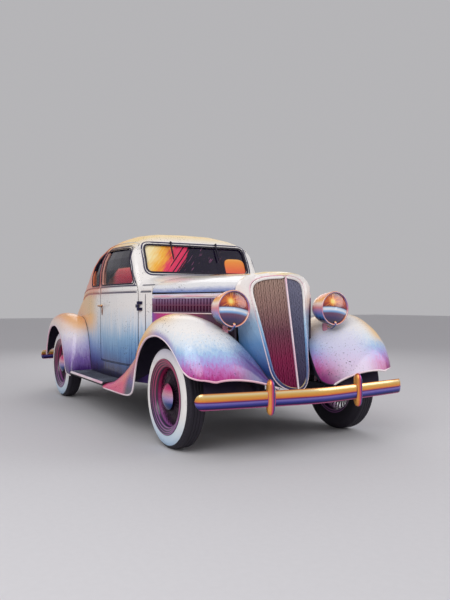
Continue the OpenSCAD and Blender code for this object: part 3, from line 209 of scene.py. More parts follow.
def body_paint(place, normal):
    """White paint with painted reflection and painted shade: white at the belt, blue then near black towards the
    sill, purple low on the cowl, a warm painted reflection at the rear quarter and over the roof; bronze handles with
    a painted highlight above and painted shade below; painted shade inside, dark on inward faces and under the roof."""
    x, y, z = place.split()
    ny, up = normal.split()[1:]
    h = z + 0.09 * (place.noise(2.3, 3) - 0.5) + 0.22 * hatched(place, (1, 1, 0.06))
    # painted shade and reflection by height: near black at the sill's foot, then blues, white at the belt
    side = h.ramp(
        (0.33, NIGHT), (0.4, NAVY), (0.48, "28508f"), (0.58, "4f86be"), (0.7, "8fbbe0"), (0.83, "dfe8f2"),
        (0.97, WHITE)
    )
    # painted reflection: warm at the rear quarter, coral above the belt behind the doors, purple low on the cowl
    side = (x.fall(-0.75, -0.3) * h.step(0.62, 0.95)).blend(side, "f6c67c")
    side = (x.fall(-0.5, 0.1) * h.step(1.04, 1.18)).blend(side, "ee8560")
    side = (x.step(0.42, 0.62) * h.fall(0.45, 0.78)).blend(side, "6a45a4")
    # painted reflection of a warm sky on the upward faces of the roof
    roof = x.ramp((-1.2, CORAL), (-0.7, ORANGE), (-0.25, "f8c468"), (0.2, "fbdc9c"), (0.36, WHITE))
    top = h.step(1.4, 1.6) * up.step(0.3, 0.8)
    side = top.blend(side, roof)
    handle = y.math("ABSOLUTE").step(0.6855, 0.687) * z.step(0.94, 0.945) * z.fall(1.02, 1.025)
    # painted highlight on the handles' upper faces, painted shade on their lower ones
    side = handle.blend(side, up.ramp((-1, "3a1c2c"), (0, "a8643c"), (0.6, "f2b870"), (1, "fff0cc")))
    # painted shade inside the cabin: dark on inward faces and on downward faces under the roof
    out = ny * (y * 40).math("MINIMUM", 1.0).math("MAXIMUM", -1.0)
    inside = (out.fall(-0.4, -0.2) + up.fall(-0.6, -0.4) * z.step(1.2, 1.25)).math("MINIMUM", 1.0)
    crown = z.step(1.46, 1.52) * up.step(0.7, 0.8) * x.fall(0.2, 0.29)
    look = worn(place, side, 0.27, Normal=crowned(place, normal, crown))
    look["Base Color"] = inside.blend(look["Base Color"], "1d0f2b")
    look["Roughness"] = look["Roughness"] + 0.4 * inside - 0.08 * handle + 0.2 * top
    look["Coat Weight"] = 0.5 - 0.5 * up.step(0.12, 0.5) * z.step(1.1, 1.2) * x.fall(0.3, 0.42)
    return look


def bonnet_paint(place, normal):
    """Bonnet top: white, with painted shade in cool blue on the flank above the side seam and a warm painted
    highlight on the crest; black painted shade on its downward faces inside.
    """
    z, up = place.split()[2], normal.split()[2]
    h = z + 0.03 * (place.noise(3.0, 3) - 0.5) + 0.02 * hatched(place, (0.05, 1, 1), 90)
    # painted shade in blue low on the flank, painted highlight in cream on the crest
    colour = h.ramp(
        (1.08, "8f96c4"), (1.1, "6f86c4"), (1.118, "b4bcdc"), (1.14, "eeeef2"), (1.2, WHITE), (1.245, "fff1d2")
    )
    look = worn(place, colour, 0.24)
    # painted shade on the downward faces inside the bonnet
    look["Base Color"] = up.fall(-0.3, -0.1).blend(look["Base Color"], "1a1226")
    return look


def bonnet_side_paint(place, normal):
    """Pale rail above with a painted highlight along it, dark vent panel, and a painted reflection in hot pink below
    it that darkens to the front.
    """
    x, _, z = place.split()
    h = z + 0.012 * (place.noise(6, 2) - 0.5)
    # painted reflection in violet, magenta and pink, darker towards the front
    low = x.ramp((0.65, "7a4fae"), (0.72, MAGENTA), (0.9, PINK), (1.1, "a02a64"), (1.35, "4c1c46"), (1.65, "2b1436"))
    panel = h.ramp((0.94, "43173c"), (0.99, "6a2650"), (1.05, "8a6f9a"))
    # painted highlight along the middle of the pale rail
    high = h.ramp((1.04, "cfd0e4"), (1.065, WHITE), (1.085, "b7b9dc"))
    return worn(place, h.step(1.046, 1.05).blend(h.step(0.930, 0.934).blend(low, panel), high), 0.27, 0.5)


def shell_paint(place, normal):
    """Grille shell: a painted highlight in cream over the head, white shoulders, painted shade in blue on the flanks
    that deepens downwards.
    """
    z, up = place.split()[2], normal.split()[2]
    h = z + 0.06 * (place.noise(3, 3) - 0.5)
    # painted shade by height, blue deepening to navy low down
    colour = h.ramp((0.4, NAVY), (0.55, DEEP_BLUE), (0.72, BLUE), (0.86, PALE_BLUE), (0.98, WHITE), (1.15, WHITE))
    # painted highlight in cream on upward faces
    colour = up.step(0.55, 0.95).blend(colour, "f9dca0")
    return worn(place, colour, 0.24, 0.6)


def front_wing_paint(place, normal):
    """White shoulder with painted reflection and shade: a yellow painted highlight on the crest behind it, lavender
    to magenta at the nose, orange to pink down the foot and near black low on the flank, violet along the lip;
    painted shade in deep blue on the right wing's inner slope, paler on the left wing's, and on the left wing's outer
    face a yellow painted highlight above and dark painted shade below."""
    x, y, z = place.split()
    ny, up = normal.split()[1:]
    lip = place.make("ShaderNodeAttribute", attribute_name="lip", out="Fac")
    h = z + 0.05 * (place.noise(4, 3) - 0.5) + 0.11 * hatched(place, (1, 1, 0.07))
    # painted reflection and shade by height at the nose and shoulder
    front = h.ramp(
        (0.48, "86186c"), (0.53, MAGENTA), (0.58, "c06cb8"), (0.635, "aa9ede"), (0.69, "a4c6ea"), (0.76, "dfe9f3"),
        (0.83, WHITE)
    )
    # painted shade in deep blue on the right wing's inner slope, paler paint on the left wing's
    inner = y.step(-0.6, -0.4) * y.fall(-0.3, -0.1) * h.fall(0.6, 0.84)
    front = (inner * 0.85).blend(front, "27408a")
    far = y.step(0.2, 0.4) * y.fall(0.5, 0.72) * h.fall(0.7, 0.9)
    front = (far * 0.8).blend(front, "e4dcf2")
    # left wing's outer face: painted highlight above, painted shade below
    front = (y.step(0.66, 0.84) * h.step(0.66, 0.78)).blend(front, "f8bf58")
    front = (y.step(0.68, 0.84) * h.fall(0.5, 0.64) * 0.85).blend(front, "35104a")
    front = (lip.step(0.9, 0.99) * x.fall(1.7, 1.95) * 0.7).blend(front, "8a68bc")
    # painted highlight on the wing's upward crest
    crest = up.step(0.4, 0.9) * x.fall(1.4, 1.75)
    front = crest.blend(front, "f9bf48")
    # painted reflection down the foot and flank, with painted shade near black at the bottom of the flank
    foot = h.ramp(
        (0.28, "e2327a"), (0.36, "ea4c74"), (0.46, "f07a58"), (0.6, "f49a48"), (0.74, "f8b848"), (0.85, "f9c04a")
    )
    flank = h.ramp(
        (0.28, NIGHT), (0.35, NAVY), (0.42, "5a3f8c"), (0.5, "c0607c"), (0.59, "ee8a50"), (0.7, "f6b04a"),
        (0.85, "f9c04a")
    )
    side = ny.math("ABSOLUTE").step(0.6, 0.9) * (x - 0.5 * (z - 0.3)).step(0.78, 0.92)
    foot = side.blend(foot, flank)
    return worn(place, (x - 0.25 * (z - 0.7)).step(1.2, 1.54).blend(foot, front), 0.25)


def rear_wing_paint(place, normal):
    """Painted reflection in orange and coral on the upward crest, white outer face, painted shade in lavender and
    purple at the foot.
    """
    x, _, z = place.split()
    up = normal.split()[2]
    h = z + 0.06 * (place.noise(4, 3) - 0.5) + 0.12 * hatched(place, (1, 1, 0.07))
    # painted shade by height on the outer face, from near black at the foot through purple and lavender to white
    face = h.ramp(
        (0.28, NIGHT), (0.35, "4a2478"), (0.45, "8a6ab8"), (0.56, "c8bce4"), (0.68, "efe8f2"), (0.8, "f8dccc"),
        (0.9, "f3a884")
    )
    # painted reflection in orange and coral on the upward crest
    crest = up.step(0.45, 0.95)
    return worn(
        place, crest.blend(face, x.ramp((-1.9, PINK), (-1.5, CORAL), (-1.2, "f6b06a"), (-0.75, "f8cf9a"))), 0.26
    )


def lamp_paint(place, normal):
    """Bullet shells with painted reflection and shade by facing: orange and white above, pink sides, blue beneath."""
    up = normal.split()[2] + 0.12 * (place.noise(9, 2) - 0.5)
    # painted reflection above, painted shade in blue beneath, by which way each face turns
    colour = up.ramp(
        (-1, NIGHT), (-0.7, NAVY), (-0.45, "4a7cba"), (-0.2, "a086c4"), (0.05, "e08a92"), (0.3, "f7e2d4"),
        (0.5, "f6b45e"), (0.8, "e87c3c"), (1, "b2482e")
    )
    return worn(place, colour, 0.18, 0.4)


def chrome_with_painted_sky(place, normal):
    """Bright nickel plate with a painted reflection of a warm sky on its upward faces and violet ground on its
    downward faces.
    """
    up = normal.split()[2] + 0.1 * (place.moved(scale=(0.4, 0.4, 3)).noise(6, 2) - 0.5)
    # painted reflection: warm sky on upward faces, violet ground on downward ones, a dark line at the horizon
    colour = up.ramp(
        (-1, NAVY), (-0.55, DEEP_BLUE), (-0.2, "7f6cc0"), (0.02, "d7a9cf"), (0.12, "4a2a5c"), (0.28, "f1a252"),
        (0.6, "fbd58c"), (1, "fff2d8")
    )
    haze = place.noise(45, 3)
    return faced(colour, 0.12 + 0.12 * haze, haze.bump(0.05, 0.0005))


def bronze_plate(place, normal):
    """Worn bronze of the key plates, with a painted highlight on upward curves and painted shade on downward ones."""
    up = normal.split()[2] + 0.2 * (place.noise(60, 3) - 0.5)
    haze = place.noise(140, 3)
    # painted highlight on upward faces, painted shade on downward ones
    return faced(
        up.ramp((-1, "3a1c2c"), (0, "9a5a3c"), (0.6, "f2b870"), (1, "fff0cc")), 0.22 + 0.15 * haze,
        haze.bump(0.1, 0.0004)
    )


def bumper_plate(place, normal):
    """Bumper plate with a painted reflection: sunset gold over a dark line, violet and blue beneath, rose along the
    lower edge; the guards painted warm on the flank that faces right and blue on the one that faces left."""
    y, z = place.split()[1:]
    ny = normal.split()[1]
    h = z + 0.004 * (place.moved(scale=(1, 0.5, 6)).noise(9, 2) - 0.5)
    # painted reflection by height: rose edge, blue and violet, a dark horizon line, sunset gold above
    colour = h.ramp(
        (0.342, "f0a2c4"), (0.35, "c0508c"), (0.356, "1c1240"), (0.372, "3c3f94"), (0.386, "8878c6"),
        (0.394, "5a2a70"), (0.398, "b04a5c"), (0.404, "ee8f3e"), (0.424, "f8c468"), (0.438, "fdebb8"),
        (0.446, "f2a458"), (0.45, "a04c34")
    )
    # painted reflection on the guards: warm on the flank facing right, blue on the one facing left
    flank = ny.ramp(
        (-1, "f6b45c"), (-0.5, "ec7a4a"), (-0.1, "d0488c"), (0.2, "3a2468"), (0.6, "5f86c2"), (1, "23356e")
    )
    guard = (y.math("ABSOLUTE") - 0.362).math("ABSOLUTE").fall(0.026, 0.0275)
    haze = place.noise(45, 3)
    return faced(guard.blend(colour, flank), 0.16 + 0.12 * haze, haze.bump(0.05, 0.0005))


def lining_paint(place, normal):
    """Undercoat inside the wings: near-black violet with mud thrown up low down."""
    z = place.split()[2]
    grain = place.noise(70, 4)
    mud = place.noise(6, 4).step(0.5, 0.8) * z.fall(0.4, 0.8) * 0.5
    return faced(mud.blend(grain.blend("150b26", "231238"), "4a3c46"), 0.75 + 0.2 * grain, grain.bump(0.3, 0.0015))


def lens_glass(place, normal):
    """Fluted lens with a painted reflection: a sunburst painted as a glint high on one side, a pale wedge of horizon
    across the middle, violet below.
    """
    y, z = place.split()[1:]
    left = y.step(-0.01, 0.01)
    c = y + LAMP_Y - 2 * LAMP_Y * left
    h = z - LAMP_Z + 0.8 * c * c + 0.12 * c
    # painted reflection: horizon band and sky across the lens
    colour = h.ramp(
        (-0.12, NIGHT), (-0.07, "35205c"), (-0.036, "6a3a5c"), (-0.022, "7fb0e4"), (-0.008, "f6f8fc"),
        (0.006, "b8d0ec"), (0.012, "4a1c40"), (0.026, "9a3028"), (0.055, "c8562a"), (0.085, "b0442c"),
        (0.11, "4a1a30")
    )
    # painted glint: a sunburst of orange beams with a yellow core
    over, above = c + 0.03, h - 0.05
    reach = (over * over + above * above) ** 0.5
    turn = over.math("ARCTAN2", above) * 4.5
    beams = turn.make(
        "ShaderNodeTexNoise", {"W": turn, "Scale": 1.0, "Detail": 2.0}, noise_dimensions="1D"
    ).step(0.45, 0.62)
    glow = (reach.fall(0.012, 0.04) + beams * reach.fall(0.03, 0.1) * 0.7).math("MINIMUM", 1.0) * h.step(0.008, 0.02)
    colour = glow.blend(colour, "f49a34")
    flutes = (y * 420).math("SINE")
    return faced(reach.fall(0.006, 0.026).blend(colour, "ffe27a"), 0.08 + 0.03 * flutes, flutes.bump(0.25, 0.001))


def grille_paint(place, normal):
    """Bars with a painted reflection that differs by half: mauve that turns magenta downwards on the right half,
    slate on the left half.
    """
    y, z = place.split()[1:]
    h = z + 0.05 * (place.noise(5, 2) - 0.5)
    # painted reflection, magenta on the right half and slate on the left
    right = h.ramp((0.4, "8a1450"), (0.62, "a02a5c"), (0.8, "8c5064"), (0.98, "b08a84"), (1.2, "c9ab9c"))
    left = h.ramp((0.4, "3a2c5c"), (0.8, "5a5a7c"), (1.2, "8a8aa4"))
    grain = place.noise(300, 2)
    return faced(y.step(-0.002, 0.002).blend(right, left), 0.35 + 0.15 * grain, grain.bump(0.1, 0.0004))


def pale_trim(place, normal):
    """Enamelled bead, white that blushes pink, with small chips."""
    tone = place.noise(3, 2)
    return worn(place, tone.step(0.35, 0.7).blend("f7e9ee", "f2b6cc"), 0.25, 0.3)


def moulding_paint(place, normal):
    """Dark raised moulding with a painted reflection along the car: coral behind the doors, violet along them, slate
    at the cowl.
    """
    x = place.split()[0] + 0.1 * (place.noise(5, 2) - 0.5)
    # painted reflection that runs coral at the rear to slate at the front
    colour = x.ramp((-1.3, "d0664e"), (-0.5, "b84e4a"), (-0.2, "5e3c5a"), (0.25, "3a3458"), (0.7, "2c2a4a"))
    return worn(place, colour, 0.3, 0.4)


def seal_rubber(place, normal):
    """Dark rubber of seals and shut lines."""
    grain = place.noise(220, 3)
    return faced(grain.blend("120c1c", "241a34"), 0.55 + 0.2 * grain, grain.bump(0.2, 0.0005))


def board_rubber(place, normal):
    """Ribbed rubber mat, greyed along the tops of its ribs and paler there in dusty patches."""
    z = place.split()[2]
    grain = place.noise(180, 3)
    dust = place.noise(4, 4).step(0.45, 0.75)
    tread = z.step(0.3285, 0.3325)
    colour = tread.blend("120e1a", dust.blend("555a6a", "8a90a0"))
    return faced(colour, 0.6 + 0.25 * grain, grain.bump(0.3, 0.0006))


def tinted_glass(place, normal):
    """Dark violet glass, clearer low in the doors, with painted reflections: slanting bars of yellow and red with
    light rays at one end of the windscreen, an amber patch at the other, and red to coral low at the front of each
    door glass."""
    x, y, z = place.split()
    wide = y.math("ABSOLUTE")
    screen = x.step(0.25, 0.27) * wide.fall(0.54, 0.56)
    # painted reflection: slanting bars of yellow, orange and red with light rays at one end of the windscreen
    slant = y - (z - 1.40) * 0.9
    strokes = slant.make("ShaderNodeCombineXYZ", {0: slant, 1: (y + z) * 0.12}).noise(52, 2)
    bars = slant + 0.16 * (strokes - 0.5) + 0.5 * (z - 1.40).math("MAXIMUM", 0.0)
    reflection_bars = bars.ramp(
        (-0.6, "fff6e0"), (-0.46, "fbe6a8"), (-0.36, "f8b840"), (-0.29, "f28a3c"), (-0.25, "e83a62"),
        (-0.12, "d8285a"), (-0.05, "5a1440")
    )
    held = screen * bars.fall(-0.13, -0.11) * (
        1 - (slant * 105).math("SINE").step(0.72, 0.8) * bars.step(-0.24, -0.22)
    )
    rays = screen * strokes.step(0.62, 0.66) * slant.fall(0.1, 0.3) * slant.step(-0.2, 0.0)
    # painted reflection: an amber patch at the other end of the windscreen
    over, above = ((y - 0.385) / 0.112).math("ABSOLUTE"), ((z - 1.325) / 0.1).math("ABSOLUTE")
    amber = screen * (over**4 + above**4).fall(0.85, 1.05)
    glow = z.ramp((1.28, "ee5a48"), (1.34, "f07a40"), (1.4, "f4963e"), (1.425, "f8b45c"))
    door = wide.step(0.56, 0.58)
    clear = door * z.fall(1.27, 1.37)
    # painted light: red to coral low at the front of each door glass
    slope = (z + 0.5 * (0.1 - x).math("MAXIMUM", 0.0)).fall(1.315, 1.33)
    shade = door * (x + 0.06 * (strokes - 0.5)).step(-0.06, 0.06) * slope * x.step(-0.2, -0.1)
    glow = shade.blend(glow, z.ramp((1.18, "b01c4c"), (1.25, "e0405c"), (1.31, "f06a6e"), (1.33, "f49a8c")))
    amber = amber.math("MAXIMUM", shade)
    smear = place.noise(14, 3)
    dark = rays.blend("150b28", "7a4468")
    return {
        "Base Color": amber.blend(held.blend(dark, reflection_bars), glow),
        "Alpha": (0.72 - 0.5 * clear + 0.22 * held + 0.2 * rays + 0.2 * amber + 0.06 * smear).math("MINIMUM", 0.97),
        "Roughness": 0.04 + 0.08 * smear,
    }


def tail_glass(place, normal):
    """Red glass with a fine pressed check."""
    y, z = place.split()[1:]
    ribs = ((z * 900).math("SINE") * (y * 900).math("SINE")) * 0.5 + 0.5
    return faced(ribs.blend("7a0d18", "c42030"), 0.12 + 0.1 * ribs, ribs.bump(0.3, 0.001))


def underside_paint(place, normal):
    """Black chassis enamel with road dust that gathers on upward faces."""
    up = normal.split()[2]
    dust = place.noise(7, 4).step(0.4, 0.8) * up.step(-0.2, 0.9)
    grain = place.noise(90, 4)
    return faced(
        (dust * 0.6).blend(grain.blend("120d1c", "241c33"), "5b5060"), 0.4 + 0.4 * grain, grain.bump(0.25, 0.0008)
    )


def dull_steel(place, normal):
    """Streaked dark steel with patches of rust."""
    streak = place.moved(scale=(1, 1, 14)).noise(22, 3)
    rust = place.noise(9, 5, 0.65).step(0.58, 0.74)
    return faced(
        rust.blend(streak.blend("2e2c36", "4c4a56"), "4a2e28"), 0.35 + 0.2 * streak + 0.25 * rust,
        streak.bump(0.15, 0.0005), Metallic=0.9 - 0.7 * rust
    )


def hinge_steel(place, normal):
    """Blued steel of the hinges, with a painted highlight on their upper edges."""
    up = normal.split()[2]
    grain = place.noise(140, 3)
    # painted highlight on upward faces
    return faced(
        up.step(0.2, 0.9).blend(grain.blend("1f1c3c", "34305a"), "a9a4c8"), 0.3 + 0.2 * grain,
        grain.bump(0.15, 0.0004), Metallic=0.5 + 0.2 * grain
    )


def cast_iron(place, normal):
    """Rough grey casting, darker and smoother where oil lies."""
    grain = place.noise(120, 5, 0.6)
    oil = place.noise(5, 3).step(0.5, 0.8)
    return faced(
        oil.blend(grain.blend("3b3a40", "56545a"), "1c1a1e"), 0.7 - 0.35 * oil, grain.bump(0.5, 0.0012),
        Metallic=0.4 + 0.1 * grain
    )


def seat_leather(place, normal):
    """Orange leather that turns darker red low down as painted shade, with pores and creases."""
    cells = place.make("ShaderNodeTexVoronoi", {"Vector": place, "Scale": 420.0}, feature="DISTANCE_TO_EDGE")
    tone = place.noise(6, 4)
    z = place.split()[2]
    colour = tone.blend("e2622f", "f08a3e")
    # painted shade: darker red low down
    colour = z.fall(0.55, 0.85).blend(colour, "b8364a")
    crease = cells.step(0.0, 0.18)
    return faced(crease.blend("7a2420", colour), 0.42 + 0.2 * tone, crease.bump(0.3, 0.0006))


def about_axle(place, centre, side):
    """Height over a wheel's axle, distance from it, and distance outwards along it."""
    x, y, z = place.moved(location=tuple(-centre)).split()
    return z, (x * x + z * z) ** 0.5, y * side


def wheel_paint(centre, side):
    """Crimson wheel: gloss rings painted as crimson highlights, shifted to navy and lavender low down as painted
    shade, dark spokes, and a hub cap plated pink above and blue below as a painted reflection.
    """

    def recipe(place, normal):
        z, r, out = about_axle(place, centre, side)
        cap = r.fall(0.0925, 0.0935) * out.step(0.0575, 0.058)
        rim = r.step(0.192, 0.2)
        # painted reflection on the plated hub cap, pink above and blue below
        plate = z.ramp(
            (-0.1, NAVY), (-0.045, DEEP_BLUE), (-0.012, "b7a4dc"), (0.02, "f4b8cc"), (0.06, PINK), (0.1, "8c1450")
        )
        # painted highlights in crimson rings; painted shade turns them navy and lavender low down
        rings = (r * 420).math("SINE").step(-0.5, 0.9)
        low = z.fall(-0.2, 0.1)
        enamel = rim.blend("2a0a28", rings.blend(low.blend("3c0a2e", "1c1238"), low.blend("b0245c", "9a5a9c")))
        fine = place.noise(150, 3)
        rough = 0.28 - 0.14 * cap + 0.1 * fine
        return faced(cap.blend(enamel, plate), rough, fine.bump(0.08, 0.0004), Metallic=cap * 0.85)

    return recipe


def tyre_rubber(centre, side):
    """Black rubber with a white band on the outer side, painted bluish low down and lavender-grey at the top as
    painted shade, greyed in patches and marked by the kerb.
    """

    def recipe(place, normal):
        z, r, out = about_axle(place, centre, side)
        scuff = place.noise(26, 5, 0.65)
        edge = 0.0012 * (scuff - 0.5)
        band = (r + edge).step(0.264, 0.2655) * (r + edge).fall(0.3315, 0.333) * out.step(0.02, 0.03)
        # painted shade on the white band: bluish low down, lavender-grey at the top
        white = z.ramp((-0.34, "a9c8e4"), (-0.24, "d5e3f0"), (-0.1, "f4f1ee"), (0.2, "f7f2ee"), (0.34, "cfcbdc"))
        grime = place.noise(9, 4).step(0.56, 0.8) * 0.35 + scuff.step(0.68, 0.72) * 0.5
        white = grime.blend(white, "7b7484")
        black = scuff.blend("120d1a", "2a2432")
        lines = (r * 2100).math("SINE")
        normal = (scuff + 0.25 * lines).bump(0.15, 0.0006)
        return faced(band.blend(black, white), 0.62 + 0.2 * scuff - 0.15 * band, normal)

    return recipe


# Surfaces


def quads(grid, round_u=False, round_v=False):
    """Points and four-sided faces of a grid, rows by columns; round_u joins the last row to the first, round_v
    the columns."""
    n, m = grid.shape[:2]
    i, j = np.meshgrid(np.arange(n if round_u else n - 1), np.arange(m if round_v else m - 1), indexing="ij")
    k, l = (i + 1) % n, (j + 1) % m
    return grid.reshape(-1, 3), np.stack([i * m + j, k * m + j, k * m + l, i * m + l], -1).reshape(-1, 4)


def surface(name, grid, body, look, round_u=False, round_v=False):
    """A piece made of one grid of points."""
    return tubes(name, [quads(grid, round_u, round_v)], body, look)


def mirrored(grids, **joins):
    """Left-hand grids and their images on the right, whose columns run the other way so that faces stay outwards."""
    return [quads(g, **joins) for g in grids] + [quads(across(g[:, ::-1]), **joins) for g in grids]


def placed(name, data):
    """A new object in the scene."""
    made = bpy.data.objects.new(name, data)
    scene.collection.objects.link(made)
    return made


def new_mesh(name, points, faces):
    """A mesh of points and faces."""
    mesh = bpy.data.meshes.new(name)
    mesh.from_pydata(points.tolist(), [], faces.tolist())
    return mesh


def applied(piece):
    """The mesh that an object's modifiers give it."""
    return bpy.data.meshes.new_from_object(piece.evaluated_get(bpy.context.evaluated_depsgraph_get()))


def corners_of(mesh):
    """A mesh's points as an array."""
    flat = np.empty(len(mesh.vertices) * 3)
    mesh.vertices.foreach_get("co", flat)
    return flat.reshape(-1, 3)


def smoothed(mesh):
    """Shades a mesh without facets."""
    mesh.polygons.foreach_set("use_smooth", [True] * len(mesh.polygons))


def settle(name, mesh, body, look):
    """A mesh as a smooth piece that rides on a body."""
    mesh.validate()
    smoothed(mesh)
    piece = placed(name, mesh)
    mesh.materials.append(look)
    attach(piece, body)
    return piece


def joined(grids):
    """Several parts, each (points, faces), as one point array and one face array."""
    points, faces, base = [], [], 0
    for p, f in grids:
        points.append(p)
        faces.append(f + base)
        base += len(p)
    return np.concatenate(points), np.concatenate(faces)


def unit(vectors):
    """Vectors brought to length 1."""
    return vectors / (np.linalg.norm(vectors, axis=-1, keepdims=True) + 1e-12)


def circle(steps):
    """Even angles once round, from 0."""
    return np.linspace(0, 2 * np.pi, steps, endpoint=False)


def tube(path, normal, rn, rb, sides=8, closed=False):
    """A flattened round profile carried along a path: rn along the normal, rb across it. Open ends are drawn
    to a point."""
    t = unit(np.roll(path, -1, 0) - np.roll(path, 1, 0) if closed else np.gradient(path, axis=0))
    nn = unit(normal - (normal * t).sum(1, keepdims=True) * t)
    b = np.cross(t, nn)
    a = circle(sides)
    size = np.ones(len(path))
    if not closed:
        size[[0, -1]] = 0.05
    ring = rn * np.cos(a)[None, :, None] * nn[:, None] + rb * np.sin(a)[None, :, None] * b[:, None]
    points, faces = quads(path[:, None] + size[:, None, None] * ring, closed, True)
    return points, faces[:, ::-1]


def tubes(name, parts, body, look):
    """One piece made of several parts, each (points, faces)."""
    return settle(name, new_mesh(name, *joined(parts)), body, look)


def across(path):
    """The image of a path or of normals on the car's other side."""
    return path * (1, -1, 1)


def both(path, normal, rn, rb, sides=8, closed=False):
    """Tubes along a left-hand path and along its image on the right."""
    return [tube(f(path), f(normal), rn, rb, sides, closed) for f in (np.array, across)]


def eased(path, times=3):
    """A path whose inner points are drawn towards their neighbours."""
    for _ in range(times):
        path = np.concatenate([path[:1], 0.25 * path[:-2] + 0.5 * path[1:-1] + 0.25 * path[2:], path[-1:]])
    return path


def grid_normals(grid):
    """Unit normals of a grid, rows direction crossed with columns direction."""
    return unit(np.cross(np.gradient(grid, axis=0), np.gradient(grid, axis=1)))


def bezier(a, b, c, d, f):
    """Cubic from a to d with handles b and c."""
    return (1 - f) ** 3 * a + 3 * (1 - f) ** 2 * f * b + 3 * (1 - f) * f**2 * c + f**3 * d


def turned(profile, centre, side, steps=128, wobble=None):
    """A profile of [radius, distance outwards] spun about a wheel's axle; the grid runs round the axle, then
    along the profile."""
    a = circle(steps)[:, None]
    r, w = (np.tile(column, (steps, 1)) for column in profile.T)
    if wobble is not None:
        r = r + wobble(a, r, w)
    return np.stack([centre[0] + r * np.cos(a), centre[1] + side * w, centre[2] + side * r * np.sin(a)], -1)


def cardinal(points, per):
    """A smooth path through points, each span a cubic with the chords' slopes."""
    p = np.asarray(points, float)
    q = np.concatenate([2 * p[:1] - p[1:2], p, 2 * p[-1:] - p[-2:-1]])
    f = np.linspace(0, 1, per, endpoint=False)[None, :, None]
    a, b, c, d = (q[i : len(q) - 3 + i, None] for i in range(4))
    out = 0.5 * (2 * b + (c - a) * f + (2 * a - 5 * b + 4 * c - d) * f**2 + (3 * b - a - 3 * c + d) * f**3)
    return np.concatenate([out.reshape(-1, p.shape[1]), p[-1:]])


def rows_curve(table, step):
    """Columns of a table drawn as the CAD's monotone cubics, at every step of a row."""
    t = np.asarray(table, float)
    d = np.diff(t, axis=0)
    a, b = d[:-1], d[1:]
    mid = np.where(a * b > 0, 2 * a * b / np.where(a + b == 0, 1, a + b), 0)
    m = np.concatenate([d[:1], mid, d[-1:]])
    s = np.arange(0, len(t) - 0.9, step)
    i = np.minimum(np.floor(s).astype(int), len(t) - 2)
    f = (s - i)[:, None]
    ends = (2 * f**3 - 3 * f**2 + 1) * t[i] + (3 * f**2 - 2 * f**3) * t[i + 1]
    return ends + (f**3 - 2 * f**2 + f) * m[i] + (f**3 - f**2) * m[i + 1]


def rounded(corners, radius, per):
    """Closed outline with its corners replaced by arcs that touch both edges."""
    p = np.asarray(corners, float)
    u, v = unit(np.roll(p, 1, 0) - p), unit(np.roll(p, -1, 0) - p)
    f = np.linspace(0, 1, per)[None, :, None]
    a, b = (p + u * radius)[:, None], (p + v * radius)[:, None]
    return ((1 - f) ** 2 * a + 2 * f * (1 - f) * p[:, None] + f**2 * b).reshape(-1, p.shape[1])


SKINS = {}


def skin_of(node):
    """A CAD node's faces, sorted for finding points on them."""
    if node not in SKINS:
        SKINS[node] = BVHTree.FromObject(nodes[node], bpy.context.evaluated_depsgraph_get())
    return SKINS[node]


def on_skin(names, origins, direction, lift=0.0):
    """Where rays meet the outside of CAD nodes: points raised by lift, and the surface's normals there."""
    trees = [skin_of(n) for n in names]
    d = Vector(direction)
    hits = ([h for h in (t.ray_cast(Vector(o), d) for t in trees) if h[0]] for o in origins)
    nearest = [min(met, key=lambda h: h[3]) for met in hits if met]
    p, nrm = (np.array([h[i] for h in nearest]) for i in (0, 1))
    nrm *= np.where(nrm @ np.array(direction) > 0, -1, 1)[:, None]
    return p + nrm * lift, nrm


OUTSIDE_Y = 1.5  # distance from the middle, clear of the body, where rays from the side start


def side_path(names, xz, side, lift=0.0):
    """A path given in side view, laid on the outside of the body."""
    o = np.insert(xz, 1, side * OUTSIDE_Y, axis=1)
    return on_skin(names, o, (0, -side, 0), lift)


# Finishes

PAINT = finish(body_paint, Coat_Roughness=0.08)
GLOSS = {"Coat_Weight": 0.5, "Coat_Roughness": 0.08}
BONNET = finish(bonnet_paint, **GLOSS)
BONNET_SIDE = finish(bonnet_side_paint, Coat_Weight=0.4, Coat_Roughness=0.1)
SHELL = finish(shell_paint, **GLOSS)
FRONT_WING = finish(front_wing_paint, **GLOSS)
REAR_WING = finish(rear_wing_paint, **GLOSS)
LAMP = finish(lamp_paint, Coat_Weight=0.6, Coat_Roughness=0.06)
HANDLE = finish(bronze_plate, Metallic=0.5)
CHROME = finish(chrome_with_painted_sky, Metallic=0.75)
LENS = finish(lens_glass, Coat_Weight=0.8, Coat_Roughness=0.03)
BUMPER = finish(bumper_plate, Metallic=0.6)
GRILLE = finish(grille_paint)
LINING = finish(lining_paint)
TRIM = finish(pale_trim, Coat_Weight=0.4)
MOULDING = finish(moulding_paint, Coat_Weight=0.4)
SEAL = finish(seal_rubber)
BOARD = finish(board_rubber)
GLASS = finish(tinted_glass, Coat_Weight=0.5, Coat_Roughness=0.02)
TAIL = finish(tail_glass, Coat_Weight=0.6)
BLACK = finish(underside_paint)
STEEL = finish(dull_steel)
IRON = finish(cast_iron)
HINGE = finish(hinge_steel, Coat_Weight=0.3)
LEATHER = finish(seat_leather)

